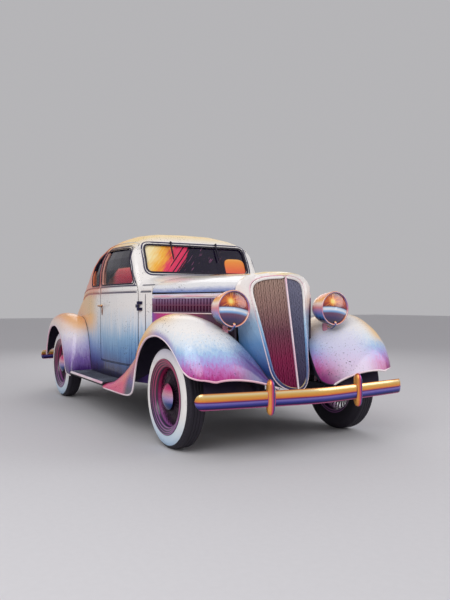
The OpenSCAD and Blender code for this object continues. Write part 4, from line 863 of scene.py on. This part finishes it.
LOOKS = {
    PAINT: ["cowl", "roof", "rear_body", "door_right", "door_left", "boot_lid", "sills", "dashboard"],
    BONNET: ["bonnet_right", "bonnet_left"],
    BONNET_SIDE: ["bonnet_sides"],
    SHELL: ["grille_shell"],
    FRONT_WING: ["front_wings"],
    REAR_WING: ["rear_wings"],
    LAMP: ["headlamps"],
    CHROME: ["bonnet_rod"],
    HINGE: ["cowl_hinges", "door_hinges_right", "door_hinges_left", "boot_hinges"],
    BUMPER: ["bumpers"],
    LENS: ["headlamp_lenses"],
    GRILLE: ["grille"],
    BOARD: ["running_boards"],
    GLASS: ["windows", "door_glass_right", "door_glass_left"],
    TAIL: ["tail_lamps"],
    SEAL: ["wipers", "steering_wheel"],
    BLACK: [
        "frame_rails", "cross_members", "radiator", "front_axle", "rear_axle", "fuel_tank", "floor_pan",
        "bumper_irons", "steering_column", "knuckle_right", "knuckle_left"
    ],
    STEEL: ["springs", "exhaust", "tie_rod"],
    IRON: ["engine", "driveline"],
    LEATHER: ["seat"],
}


def dress(node, look):
    """Gives a CAD node its material."""
    slots = nodes[node].data.materials
    slots.clear()
    slots.append(look)


for look, names in LOOKS.items():
    for node in names:
        dress(node, look)


# Wheels

TYRE_HALF_W, BELLY_R, SHOULDER_R, TREAD_HALF_W = 0.082, 0.287, 0.022, 0.036
ZIGZAGS, ZIG = 84, 0.004  # turns of a groove round the tyre, and how far it swings
GROOVES, GROOVE_HALF_W, GROOVE_DEPTH = (-0.024, -0.002, 0.020), 0.0026, 0.006
CUT_W, CUT_HALF_W, CUT_DEPTH = 0.056, 0.011, 0.004  # the first is the cuts' distance from the tyre's middle
TREAD_BAND = 0.012  # depth below the tread within which the outline is cut


def tyre_wobble(a, r, w):
    """Three zigzag grooves round the tread and cross cuts on its shoulders."""
    zig = ZIG * np.abs(((a * ZIGZAGS / 2 / np.pi) % 2) - 1)
    groove = sum(np.exp(-(((w - c - zig) / GROOVE_HALF_W) ** 4)) for c in GROOVES)
    cuts = (np.sin(a * ZIGZAGS) > 0.55) * np.exp(-(((np.abs(w) - CUT_W) / CUT_HALF_W) ** 4))
    return -(GROOVE_DEPTH * groove + CUT_DEPTH * cuts) * (r > TYRE_R - TREAD_BAND)


def tyre_profile():
    """The CAD tyre's outline with its tread drawn finely, from bead to bead."""

    def arc(r, w, radius, low, high):
        t = np.radians(np.linspace(low, high, 8))
        return np.column_stack([r + radius * np.cos(t), w + radius * np.sin(t)])

    belly = arc(BELLY_R, 0, TYRE_HALF_W, -78, -42)
    shoulder = arc(TYRE_R - SHOULDER_R, 2 * SHOULDER_R - TYRE_HALF_W, SHOULDER_R, -60, 0)
    tread = [(TYRE_R, w) for w in np.linspace(-TREAD_HALF_W, TREAD_HALF_W, 37)]
    half = np.concatenate([[(0.2365, -0.069), (0.262, -0.079)], belly, shoulder])
    back = [(0.2205, 0.0535), (0.2205, -0.0535)]
    return np.concatenate([half, tread, half[::-1] * (1, -1), back])


RING_PROFILE = np.array([
    (0.2640, 0.0795), (0.2615, 0.0835), (0.2560, 0.0850), (0.2505, 0.0830), (0.2475, 0.0785),
    (0.2440, 0.0790), (0.2390, 0.0800), (0.2340, 0.0780), (0.2305, 0.0725), (0.2270, 0.0725),
    (0.2225, 0.0715), (0.2185, 0.0675), (0.2150, 0.0610), (0.2110, 0.0600), (0.2065, 0.0560),
    (0.2030, 0.0480), (0.2005, 0.0380), (0.1990, 0.0270),
])


# Sets of wires: lean, and distance outwards at the hub and at the rim
WIRE_SETS = (0.42, 0.050, 0.030), (-0.42, 0.044, 0.024), (0.3, 0.034, 0.016), (-0.3, 0.028, 0.010)
WIRES, WIRE_R, WIRE_HUB_R, WIRE_RIM_R = 36, 0.0017, 0.062, 0.2
RUN = np.array([0, 0.01, 0.99, 1])[:, None]  # shares of a wire's length, close to its ends so that it keeps its width


def lattice(centre, side):
    """Fine laced wires from the hub cap's edge to the rim, in sets that cross."""
    parts = []
    for lean, inner, outer in WIRE_SETS:
        for a in circle(WIRES) + lean:
            hub = np.array([WIRE_HUB_R * np.cos(a), side * inner, WIRE_HUB_R * np.sin(a)])
            rim = np.array([WIRE_RIM_R * np.cos(a + lean), side * outer, WIRE_RIM_R * np.sin(a + lean)])
            parts.append(tube(centre + hub + (rim - hub) * RUN, np.array([0.0, side, 0.0]), WIRE_R, WIRE_R, 5))
    return parts


for name, (axle, side) in WHEELS.items():
    centre = np.array([axle, side * HALF_TRACK, TYRE_R])
    body = "road_wheel_" + name
    enamel = finish(wheel_paint(centre, side), "wheel_enamel_" + name, Coat_Weight=0.5)
    rubber = finish(tyre_rubber(centre, side), "tyre_rubber_" + name)
    dress("wheel_" + name, enamel)
    dress("tyre_" + name, rubber)
    tread = surface(
        "treaded_tyre_" + name, turned(tyre_profile(), centre, side, 336, tyre_wobble), body, rubber, True, True,
    )
    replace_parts(tread, "tyre_" + name)
    surface("rim_ring_" + name, turned(RING_PROFILE, centre, side, 96), body, enamel, True, False)
    tubes("spoke_lattice_" + name, lattice(centre, side), body, enamel)


# Wings

# Columns: x, crown height, lip height, lip distance, inner edge distance, inner edge height
FRONT_WING_ROWS = [
    (2.056, 0.528, 0.490, 0.730, 0.225, 0.440), (2.020, 0.630, 0.502, 0.796, 0.220, 0.436),
    (1.950, 0.738, 0.542, 0.850, 0.210, 0.450), (1.892, 0.802, 0.600, 0.874, 0.214, 0.490),
    (1.800, 0.872, 0.682, 0.880, 0.236, 0.580), (1.650, 0.934, 0.758, 0.880, 0.300, 0.706),
    (1.500, 0.948, 0.784, 0.880, 0.350, 0.776), (1.350, 0.918, 0.764, 0.880, 0.384, 0.790),
    (1.220, 0.850, 0.690, 0.880, 0.412, 0.768), (1.130, 0.782, 0.570, 0.880, 0.432, 0.736),
    (1.085, 0.742, 0.440, 0.880, 0.442, 0.716), (1.050, 0.708, 0.345, 0.880, 0.450, 0.696),
    (0.960, 0.618, 0.306, 0.878, 0.470, 0.640), (0.820, 0.496, 0.294, 0.874, 0.502, 0.548),
    (0.640, 0.388, 0.290, 0.870, 0.542, 0.444), (0.460, 0.331, 0.288, 0.868, 0.590, 0.362),
    (0.310, 0.310, 0.286, 0.866, 0.600, 0.330),
]
REAR_WING_ROWS = [
    (-0.730, 0.352, 0.286, 0.866, 0.610, 0.344), (-0.764, 0.500, 0.290, 0.868, 0.620, 0.470),
    (-0.810, 0.620, 0.294, 0.872, 0.620, 0.580), (-0.860, 0.699, 0.320, 0.876, 0.616, 0.660),
    (-0.910, 0.757, 0.440, 0.878, 0.610, 0.720), (-0.990, 0.823, 0.600, 0.880, 0.600, 0.780),
    (-1.110, 0.881, 0.716, 0.880, 0.582, 0.830), (-1.290, 0.905, 0.776, 0.880, 0.560, 0.850),
    (-1.470, 0.883, 0.752, 0.878, 0.538, 0.826), (-1.610, 0.823, 0.660, 0.874, 0.516, 0.766),
    (-1.700, 0.759, 0.540, 0.868, 0.498, 0.704), (-1.760, 0.703, 0.440, 0.860, 0.486, 0.650),
    (-1.850, 0.605, 0.420, 0.838, 0.466, 0.560), (-1.920, 0.497, 0.420, 0.804, 0.450, 0.490),
]

BOARD_Z = 0.331
APRON_BACK, APRON_FRONT, APRON_FOOT_Y, APRON_FOOT_Z = 1.02, 1.93, 0.372, 0.56
NOSE_ROUND, NOSE_ROWS = 0.17, 15  # share of the section that the wing's round nose takes off, over so many rows
SHEET_STEPS, LINING_GAP, BEAD_R, WELT_R = 37, 0.011, 0.0075, 0.004
SKIN_NEAR = 0.0035  # a point of a section nearer than this to the CAD wing lies on it


def wing_section(rows, v):
    """Sections of a left wing: a cubic in y and z from the inner edge, over the crown, to the outer lip."""
    x, crown, lip_z, lip_y, in_y, in_z = (c[:, None] for c in rows.T)
    top = np.maximum(crown, in_z) + 0.24 * (crown - lip_z)
    y = bezier(in_y, in_y + 0.42 * (lip_y - in_y), lip_y + 0.004, lip_y, v)
    return np.stack([x + 0 * v, y, bezier(in_z, top, top, lip_z, v)], -1)


def wing_sheet(node, table):
    """A left wing's outside, drawn finely from where the body lets the CAD wing out to its lip."""
    rows = rows_curve(table, 1 / 6)
    v = np.tile(np.linspace(0, 1, 81), (len(rows), 1))
    tree = skin_of(node)
    spots = wing_section(rows, v).reshape(-1, 3)
    near = np.array([tree.find_nearest(Vector(q))[3] < SKIN_NEAR for q in spots]).reshape(v.shape)
    start = eased(np.where(near.any(1), v[0][near.argmax(1)], 0.0)[:, None], 2)
    nose = np.clip(1 - np.arange(len(rows)) / NOSE_ROWS, 0, 1)[:, None] ** 2.2 * (node == "front_wings")
    return wing_section(rows, start + (1 - NOSE_ROUND * nose - start) * np.linspace(0, 1, SHEET_STEPS))


for label, table, look in (("front", FRONT_WING_ROWS, FRONT_WING), ("rear", REAR_WING_ROWS, REAR_WING)):
    node = label + "_wings"
    sheet = wing_sheet(node, table)
    if label == "rear":
        foot = sheet[:1] - (0.001, 0, 0)
        foot[..., 2] = np.minimum(foot[..., 2], BOARD_Z)
        sheet = np.concatenate([foot, sheet - (0.002, 0, 0)])
    inwards = grid_normals(sheet)
    skin = tubes(label + "_wing_skins", mirrored([sheet[:, ::-1]]), "chassis", look)
    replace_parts(skin, node)
    share = np.tile(np.linspace(0, 1, SHEET_STEPS), (len(sheet), 1))
    reach = skin.data.attributes.new("lip", "FLOAT", "POINT").data
    reach.foreach_set("value", np.concatenate([share[:, ::-1].ravel(), share.ravel()]))
    tubes(label + "_wing_linings", mirrored([sheet + inwards * LINING_GAP]), "chassis", LINING)
    lip, lip_in = (
        np.concatenate([g[:, -1], g[-1, -2::-1]] if label == "rear" else [g[0], g[1:, -1]]) for g in (sheet, inwards)
    )
    bead = both(eased(lip + 0.005 * lip_in, 4), eased(lip_in, 4), BEAD_R, BEAD_R)
    tubes(label + "_wing_beads", bead, "chassis", TRIM)
    welt = both(eased(sheet[:, 0], 2), inwards[:, 0], WELT_R, WELT_R, 6)
    tubes(label + "_wing_welts", welt, "chassis", SEAL)
    if label == "front":
        bay = (sheet[:, 0, 0] < APRON_FRONT) & (sheet[:, 0, 0] > APRON_BACK)
        top = sheet[bay, 0] - (0, 0.004, 0.006)
        foot = np.column_stack(
            [top[:, 0], np.minimum(APRON_FOOT_Y, top[:, 1]), np.minimum(APRON_FOOT_Z, top[:, 2] - 0.02)]
        )
        apron = top[:, None] + (foot - top)[:, None] * np.linspace(0, 1, 9)[None, :, None]
        tubes("splash_aprons", mirrored([apron]), "chassis", LINING)


# Valance under the nose, from the wings' inner sides down behind the bumper
VALANCE_X, VALANCE_LOW, VALANCE_HALF_W = 1.935, 0.335, 0.74
u, v = np.meshgrid(np.linspace(-VALANCE_HALF_W, VALANCE_HALF_W, 75), np.linspace(0, 1, 9), indexing="ij")
valance_top = np.interp(np.abs(u), [0.19, 0.27, 0.5, VALANCE_HALF_W], [0.376, 0.43, 0.5, 0.52])
valance = np.stack([VALANCE_X + 0.02 * np.sin(np.pi * v), u, VALANCE_LOW + (valance_top - VALANCE_LOW) * v], -1)
surface("front_valance", valance, "chassis", LINING)


# Grille

RIDGE_TOP_X, RIDGE_LEAN, PROW = 1.792, 0.2, 0.118
GRILLE_W, GRILLE_FOOT_W, GRILLE_LOW, GRILLE_HIGH, RIM_IN = 0.236, 0.168, 0.396, 1.206, 0.012
OUTLINE_STEPS = 24
GRILLE_WIRES, WIRES_SPREAD, WIRE_STEP, WAVE, WAVE_LEN = 22, 0.218, 0.0055, 0.0017, 0.034
FORWARD = np.array([1.0, 0.0, 0.2])


def grille_face(y, z, back=0.0):
    """Prow of the grille: a leaning ridge from which both halves fall back with the distance from the middle."""
    x = RIDGE_TOP_X + (GRILLE_HIGH - z) * RIDGE_LEAN - PROW * (np.abs(y) / GRILLE_W) ** 1.15
    return np.stack([x - back, y + 0 * z, z + 0 * y], -1)


def shield(inset):
    """One side of the grille's outline, drawn in, as [half width, height]: round foot, straight side, round head."""
    foot_w, head_w, low, high = GRILLE_FOOT_W - inset, GRILLE_W - inset, GRILLE_LOW + inset, GRILLE_HIGH - inset
    f = np.linspace(0, 1, OUTLINE_STEPS)[:, None]
    knee, neck = np.array([foot_w, low + 0.165]), np.array([head_w, high - 0.14])
    foot = bezier(np.array([0, low]), np.array([foot_w * 0.55, low]), np.array([foot_w * 0.92, low + 0.05]), knee, f)
    head = bezier(neck, neck * (1.04, 1) + (0, 0.095), np.array([head_w * 0.94, high]), np.array([0, high]), f)
    return np.concatenate([foot, (knee + (neck - knee) * f)[1:], head[1:]])


edge, outer = shield(RIM_IN), shield(0.0)
tubes("grille_surround", both(grille_face(*edge.T), FORWARD, 0.006, 0.0115, 10), "chassis", SHELL)
tubes("grille_bead", both(grille_face(*outer.T, -0.002), FORWARD, 0.005, 0.004), "chassis", TRIM)
ridge = grille_face(np.zeros(40), np.linspace(GRILLE_LOW + 0.004, GRILLE_HIGH - 0.004, 40), -0.004)
tubes("grille_ridge", [tube(ridge, FORWARD, 0.007, 0.006, 10)], "chassis", TRIM)

# Wavering wires before the upright bars
wires = []
low_edge, high_edge = edge[: 2 * OUTLINE_STEPS - 1], edge[2 * OUTLINE_STEPS - 2 :]
for i in range(1, GRILLE_WIRES + 1):
    y = i * WIRES_SPREAD / (GRILLE_WIRES + 1)
    foot, head = np.interp(y, *low_edge.T), np.interp(-y, -high_edge[:, 0], high_edge[:, 1])
    z = np.arange(foot, head, WIRE_STEP)
    swing = WAVE * np.sin(z * 2 * np.pi / WAVE_LEN + math.pi * i)
    wires += both(grille_face(y + swing, z, 0.006), FORWARD, 0.0015, 0.0019, 4)
tubes("grille_wires", wires, "chassis", GRILLE)
share = np.linspace(-1, 1, 25)[None, :]
height = np.linspace(GRILLE_LOW + 0.03, GRILLE_HIGH - 0.03, 40)[:, None]
half = np.array([max(edge[np.abs(edge[:, 1] - h).argsort()[:2], 0]) for h in height[:, 0]])[:, None] - 0.006
surface("grille_core", grille_face(share * half, height, 0.036), "chassis", LINING)


# Mouldings, seals and beads

LIFT = 0.001  # how far the middle of a bead stands off its panel


def panel_beads(name, x, z, nodes_on, body, look, rn, rb, sides=(-1, 1)):
    """Beads laid along a side-view path on the outside of panels, on one or both sides of the car."""
    xz = np.column_stack(np.broadcast_arrays(x, z))
    tubes(name, [tube(*side_path(nodes_on, xz, side, LIFT), rn, rb) for side in sides], body, look)


def belt(x, rise):
    """Height of the belt line along the car, plus a rise; it sinks behind the quarter window."""
    return np.interp(-x, [-0.65, 0.6, 0.77, 0.9, 1.01, 1.11, 1.2], [1.1, 1.098, 1.096, 1.09, 1.08, 1.06, 1.02]) + rise


for rise, look, rn, rb in (
    (0.004, MOULDING, 0.004, 0.0055), (0.062, MOULDING, 0.004, 0.005), (0.033, PAINT, 0.005, 0.022)
):
    tag = "_%02d" % round(rise * 1000)
    x = np.linspace(0.645, 0.51, 12)
    panel_beads("cowl_belt" + tag, x, belt(x, rise), ["cowl"], "chassis", look, rn, rb)
    x = np.linspace(-0.345, -1.16 + 0.3 * rise, 60)
    panel_beads("quarter_belt" + tag, x, belt(x, rise), ["rear_body"], "chassis", look, rn, rb)
    x = np.linspace(0.474, -0.318, 50)
    for label, side in SIDES:
        door = "door_" + label
        panel_beads("door_belt_" + label + tag, x, belt(x, rise), [door], door, look, rn, rb, (side,))

x = np.linspace(1.635, 0.665, 60)
for tag, z, rn, rb in (("upper", 1.064, 0.005, 0.009), ("lower", 0.929, 0.004, 0.0045)):
    panel_beads("bonnet_side_bead_" + tag, x, z, ["bonnet_sides"], "chassis", TRIM, rn, rb)

DOOR_LOW = float(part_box("door_right")[0][2])
DOOR_FOOT = DOOR_LOW + 0.004
DOOR = [(0.49, DOOR_FOOT), (0.49, 1.1), (0.302, 1.492), (0.216, 1.52), (-0.326, 1.534), (-0.326, DOOR_FOOT)]
panel_beads("cowl_seams", 0.575, np.linspace(DOOR_LOW + 0.1, 1.09, 40), ["cowl"], "chassis", MOULDING, 0.002, 0.0035)
DRIP = [
    (0.40, 1.40), (0.335, 1.5), (0.23, 1.552), (-0.05, 1.566), (-0.33, 1.566), (-0.52, 1.515), (-0.66, 1.40),
    (-0.69, 1.30)
]
panel_beads("drip_rail", *cardinal(DRIP, 10).T, ["cowl", "roof", "rear_body"], "chassis", PAINT, 0.006, 0.005)

DOOR_WINDOW = [(0.418, 1.184), (0.28, 1.48), (0.206, 1.496), (-0.282, 1.506), (-0.282, 1.184)]
QUARTER_WINDOW = [(-0.368, 1.184), (-0.368, 1.494), (-0.54, 1.434), (-0.64, 1.332), (-0.64, 1.184)]


def grown(corners, by):
    """Outline pushed outwards from its middle by a distance along each corner's bisector."""
    p = np.asarray(corners, float)
    a, b = p - np.roll(p, 1, 0), np.roll(p, -1, 0) - p
    turn = np.sign((a[:, 0] * b[:, 1] - a[:, 1] * b[:, 0]).sum())
    na, nb = (turn * unit(np.column_stack([e[:, 1], -e[:, 0]])) for e in (a, b))
    return p + by * (na + nb) / (1 + (na * nb).sum(1, keepdims=True))


LOOP_STEP = 0.015


def window_loop(corners, by, radius):
    """Closed rounded outline round a window, with points at even steps."""
    p = rounded(grown(corners, by), radius, 8)
    q = np.concatenate([p, p[:1]])
    d = np.concatenate([[0], np.cumsum(np.linalg.norm(np.diff(q, axis=0), axis=1))])
    s = np.arange(0, d[-1] - 0.4 * LOOP_STEP, LOOP_STEP)
    return np.column_stack([np.interp(s, d, q[:, 0]), np.interp(s, d, q[:, 1])])


KEY_X, KEY_Z, KEY_HALF_W, KEY_HALF_H, KEY_DOME = -0.27, 0.935, 0.019, 0.043, 0.0065


def key_plate(door, side):
    """An oval disc laid on a door, domed as the root of a quadratic in the distance from its middle."""
    f, a = np.meshgrid(np.linspace(1, 0.02, 9), circle(40), indexing="ij")
    xz = np.stack([KEY_X + KEY_HALF_W * f * np.cos(a), KEY_Z + KEY_HALF_H * f * np.sin(a)], -1)
    spots, out = side_path([door], xz.reshape(-1, 2), side)
    dome = KEY_DOME * np.sqrt(1 - 0.97 * f.reshape(-1, 1) ** 2) - 0.001
    return (spots + out * dome).reshape(*f.shape, 3)[:, ::side]


# Rows: name, distance outwards from the glass, material, slot, half height, half width
SIDE_LOOPS = (
    ("seal", 0.006, SEAL, "hard_rubber", 0.006, 0.006),
    ("frame", 0.021, MOULDING, "body_paint", 0.004, 0.005),
)
END_LOOPS = (
    ("seal", 0.008, SEAL, "hard_rubber", 0.007, 0.009),
    ("frame", 0.03, MOULDING, "body_paint", 0.006, 0.007),
)

for label, side in SIDES:
    door = "door_" + label
    shut = tube(*side_path([door], window_loop(DOOR, -0.003, 0.02), side), 0.0018, 0.003, closed=True)
    tubes("door_shut_line_" + label, [shut], door, SEAL)
    surface("key_plate_" + label, key_plate(door, side), door, HANDLE, round_v=True)
    for tag, by, look, slot, rn, rb in SIDE_LOOPS:
        for window, corners, node, body in (
            ("door", DOOR_WINDOW, door, door), ("quarter", QUARTER_WINDOW, "rear_body", "chassis")
        ):
            loop = tube(*side_path([node], window_loop(corners, by, 0.03 + by), side, LIFT), rn, rb, closed=True)
            tubes("%s_window_%s_%s" % (window, tag, label), [loop], body, look)

SCREEN = [(-0.505, 1.286), (0.505, 1.286), (0.498, 1.522), (-0.498, 1.522)]
BACK = [(-0.33, 1.287), (0.33, 1.287), (0.3, 1.422), (-0.3, 1.422)]
for label, corners, radius, from_x, way, node in (
    ("screen", SCREEN, 0.045, 2, -1, "cowl"), ("back_window", BACK, 0.057, -3, 1, "rear_body")
):
    for tag, by, look, slot, rn, rb in END_LOOPS:
        starts = np.insert(window_loop(corners, by, radius + by), 0, from_x, axis=1)
        loop = tube(*on_skin([node], starts, (way, 0, 0), LIFT), rn, rb, closed=True)
        tubes(label + "_" + tag, [loop], "chassis", look)


# Running boards, lamps

edge_path = np.linspace((-0.722, 0.862, 0.323), (0.302, 0.862, 0.323), 40)
tubes("board_edges", both(edge_path, np.array([0, 0.8, 0.6]), 0.007, 0.012, 10), "chassis", TRIM)

a = circle(64)
rim_out = np.column_stack([np.zeros(64), np.cos(a), np.sin(a)])
rim = np.array([LAMP_X - 0.0015, LAMP_Y, LAMP_Z]) + (LAMP_R - 0.004) * rim_out
tubes("lamp_bezels", both(rim, rim_out, 0.006, 0.0075, 10, True), "chassis", LAMP)
HOOK = (1.72, -0.01), (1.765, -0.022), (1.80, -0.01), (1.822, 0.016), (1.806, 0.03), (1.792, 0.014)
hook = cardinal([(x, LAMP_Y, LAMP_Z - LAMP_R + z) for x, z in HOOK], 6)
tubes("lamp_hooks", both(hook, np.array([0, 1.0, 0]), 0.009, 0.007), "chassis", LAMP)


# Bumpers

# Shares of the half width, and millimetres by which the blade falls back there
SWEEP = np.array(
    [(0, 0), (0.05, 6), (0.3, 38), (0.6, 76), (0.86, 110), (0.95, 126), (0.98, 137), (0.995, 150), (1, 160)]
)
FACE_X, BUMPER_HALF_W, BLADE_Z, BLADE_HALF_H, BLADE_HALF_D = 2.211, 0.85, 0.398, 0.052, 0.013
TAPER_AT, TAPER_SPAN = 0.945, 0.0551  # share of the half width where the ends begin to taper, and over what
PROW_R = 0.012  # rounds the middle of the blade's shallow V
GUARD_Y, GUARD_Z, GUARD_HALF_H, GUARD_HALF_W, GUARD_HALF_D = 0.362, 0.406, 0.116, 0.025, 0.034


def fallback(share):
    """How far the blade falls back at a share of its half width."""
    return np.interp(share, SWEEP[:, 0], SWEEP[:, 1] * 0.001)


def signed_power(values, power):
    """A power of each value's size, with the value's sign."""
    return np.sign(values) * np.abs(values) ** power


def bumper_blade():
    """A rounded blade carried along a shallow V: its section is an ellipse squared off in height, and it
    tapers at the ends."""
    t = np.sin(np.linspace(0, np.pi / 2, 76))
    t = np.concatenate([-t[:0:-1], t])[:, None]
    back = np.sqrt(fallback(np.abs(t)) ** 2 + PROW_R**2) - PROW_R
    end = (1 - ((np.abs(t) - TAPER_AT).clip(0) / TAPER_SPAN) ** 3).clip(0) ** 0.45
    a = circle(48)
    x = FACE_X - BLADE_HALF_D - back + BLADE_HALF_D * np.cos(a) * (0.3 + 0.7 * end)
    z = BLADE_Z + BLADE_HALF_H * signed_power(np.sin(a), 0.72) * end.clip(0.02)
    return np.stack([x, np.repeat(t * BUMPER_HALF_W, 48, 1), z], -1)


def bumper_guard():
    """An upright bar with rounded head and foot that stands before the blade."""
    h, a = np.linspace(-1, 1, 41)[:, None], circle(24)
    end = (1 - np.abs(h) ** 5).clip(0) ** 0.5
    x = FACE_X - fallback(GUARD_Y / BUMPER_HALF_W) - 0.006 + GUARD_HALF_D * np.cos(a) * end
    y = GUARD_Y + GUARD_HALF_W * signed_power(np.sin(a), 0.8) * end
    return np.stack([x, y, GUARD_Z + GUARD_HALF_H * h + 0 * a], -1)


blade, guards = bumper_blade(), mirrored([bumper_guard()[::-1]], round_v=True)
REARWARD = (-1, 1, 1)
front_set = [quads(blade[::-1], round_v=True)] + guards
rear_set = [quads(blade * REARWARD, round_v=True)] + [(p * REARWARD, f[:, ::-1]) for p, f in guards]
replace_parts(tubes("bumper_blades", front_set + rear_set, "chassis", BUMPER), "bumpers")


# Seat

VOXEL, PRESSURE, CLOTH_FRAMES, SWELL = 0.014, 4.0, 20, 0.024
SEAM_DEPTH, SEAM_W = 0.011, 0.008


def pillow(size):
    """A closed form on a ball's grid: each direction is pushed out to a rounded box."""
    u, v = np.meshgrid(np.linspace(-np.pi / 2, np.pi / 2, 41), circle(80), indexing="ij")
    cu, su, cv, sv = (signed_power(w, 0.34) for w in (np.cos(u), np.sin(u), np.cos(v), np.sin(v)))
    return np.stack([cu * cv, cu * sv, su], -1) * np.array(size) / 2


def swollen(name, grid):
    """A cushion's form filled by pressure in a cloth run; each point moves no further than the swell."""
    form = placed(name + "_form", new_mesh(name + "_form", *quads(grid, round_v=True)))
    remesh = form.modifiers.new("remesh", "REMESH")
    remesh.mode, remesh.voxel_size = "VOXEL", VOXEL
    skin = applied(form)
    start = end = corners_of(skin)
    bag = placed(name + "_bag", skin)
    cloth = bag.modifiers.new("cloth", "CLOTH").settings
    cloth.use_pressure, cloth.uniform_pressure_force, cloth.effector_weights.gravity = True, PRESSURE, 0.0
    for f in range(1, CLOTH_FRAMES + 1):
        scene.frame_set(f)
    end = corners_of(applied(bag))
    scene.frame_set(1)
    skin = skin.copy()
    bpy.data.objects.remove(bag)
    bpy.data.objects.remove(form)
    far = np.linalg.norm(end - start, axis=1, keepdims=True)
    skin.vertices.foreach_set("co", (start + (end - start) * np.minimum(1, SWELL / (far + 1e-9))).ravel())
    return skin


def tilted(p, angle):
    """Points turned about the line across the car."""
    c, s = math.cos(angle), math.sin(angle)
    return np.stack([c * p[..., 0] + s * p[..., 2], p[..., 1], c * p[..., 2] - s * p[..., 0]], -1)


def cushion(name, size, place, tilt, pitch, facing):
    """A padded piece: swollen form, sewn channels across its face, then set in place with its tilt."""
    piece = settle(name, swollen(name, pillow(np.array(size) - 1.5 * SWELL)), "chassis", LEATHER)
    finer = piece.modifiers.new("finer", "SUBSURF")
    finer.levels = finer.render_levels = 1
    fine = applied(piece)
    piece.modifiers.clear()
    piece.data = fine
    p = corners_of(fine)
    seam = np.abs((p[:, 1] / pitch + 0.5) % 1 - 0.5) * pitch
    face = np.clip((p[:, facing] - (0.5 * size[facing] - 0.075)) / 0.05, 0, 1)
    p[:, facing] -= SEAM_DEPTH * np.exp(-((seam / SEAM_W) ** 2)) * face
    fine.vertices.foreach_set("co", (tilted(p, tilt) + place).ravel())
    smoothed(fine)
    fine.update()
    return piece


SEAT_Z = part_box("seat")[0][2]
bench = cushion("seat_bench", (0.52, 1.12, 0.25), (-0.30, 0, SEAT_Z + 0.126), 0.0, 0.14, 2)
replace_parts(bench, "seat")
BACK_LEAN = math.radians(-12)
for label, side in SIDES:
    spot = np.array([-0.56, side * 0.279, SEAT_Z + 0.238]) + tilted(np.array([0.075, 0, 0.28]), BACK_LEAN)
    cushion("seat_back_" + label, (0.15, 0.54, 0.555), spot, BACK_LEAN, 0.09, 0)


# Camera, light and floor

EYE = (5.441, -2.537, 0.999)
YAW, PITCH = math.radians(150.75), math.radians(0.4)
SENSOR, FOCAL_PX, PICTURE_PX = 36, 617.2, 600


def aimed(piece, place, way):
    """Puts a camera or lamp at a place, pointed along a way."""
    piece.location = place
    piece.rotation_euler = way.to_track_quat("-Z", "Y").to_euler()


camera = placed("camera", bpy.data.cameras.new("camera"))
aimed(camera, EYE, Vector((math.cos(PITCH) * math.cos(YAW), math.cos(PITCH) * math.sin(YAW), math.sin(PITCH))))
camera.data.sensor_width = SENSOR
camera.data.lens = FOCAL_PX * SENSOR / PICTURE_PX
scene.camera = camera

world = bpy.data.worlds.new("studio")
scene.world = world
world.use_nodes = True
sky = world.node_tree.nodes["Background"].inputs
sky["Color"].default_value, sky["Strength"].default_value = (0.93, 0.92, 0.95, 1), 0.5


def lamp(name, place, aim, size, watts):
    """A round soft lamp at a place, pointed at its aim."""
    data = bpy.data.lights.new(name, "AREA")
    data.shape, data.size, data.energy = "DISK", size, watts
    aimed(placed(name, data), place, Vector(aim) - Vector(place))


lamp("key", (4.5, -4.5, 5.0), (0.3, 0, 0.7), 6.0, 235)
lamp("fill", (5.0, 4.5, 3.0), (0.6, 0, 0.7), 4.0, 100)
lamp("back", (-5.0, 2.5, 4.5), (0, 0, 0.9), 6.0, 90)


def floor_finish(place, normal):
    """Plain pale floor."""
    grain = place.noise(30, 3)
    return {"Base Color": grain.blend((0.62, 0.61, 0.63, 1), (0.66, 0.65, 0.67, 1)), "Roughness": 0.75 + 0.1 * grain}


FLOOR_HALF, FLOOR_Z = 40, -0.0005
u, v = np.meshgrid(*[np.linspace(-FLOOR_HALF, FLOOR_HALF, 9)] * 2, indexing="ij")
floor_mesh = new_mesh("studio_floor", *quads(np.stack([u, v, np.full(u.shape, FLOOR_Z)], -1)))
floor_mesh.materials.append(finish(floor_finish))
floor = placed("studio_floor", floor_mesh)

scene.view_settings.view_transform = "Standard"
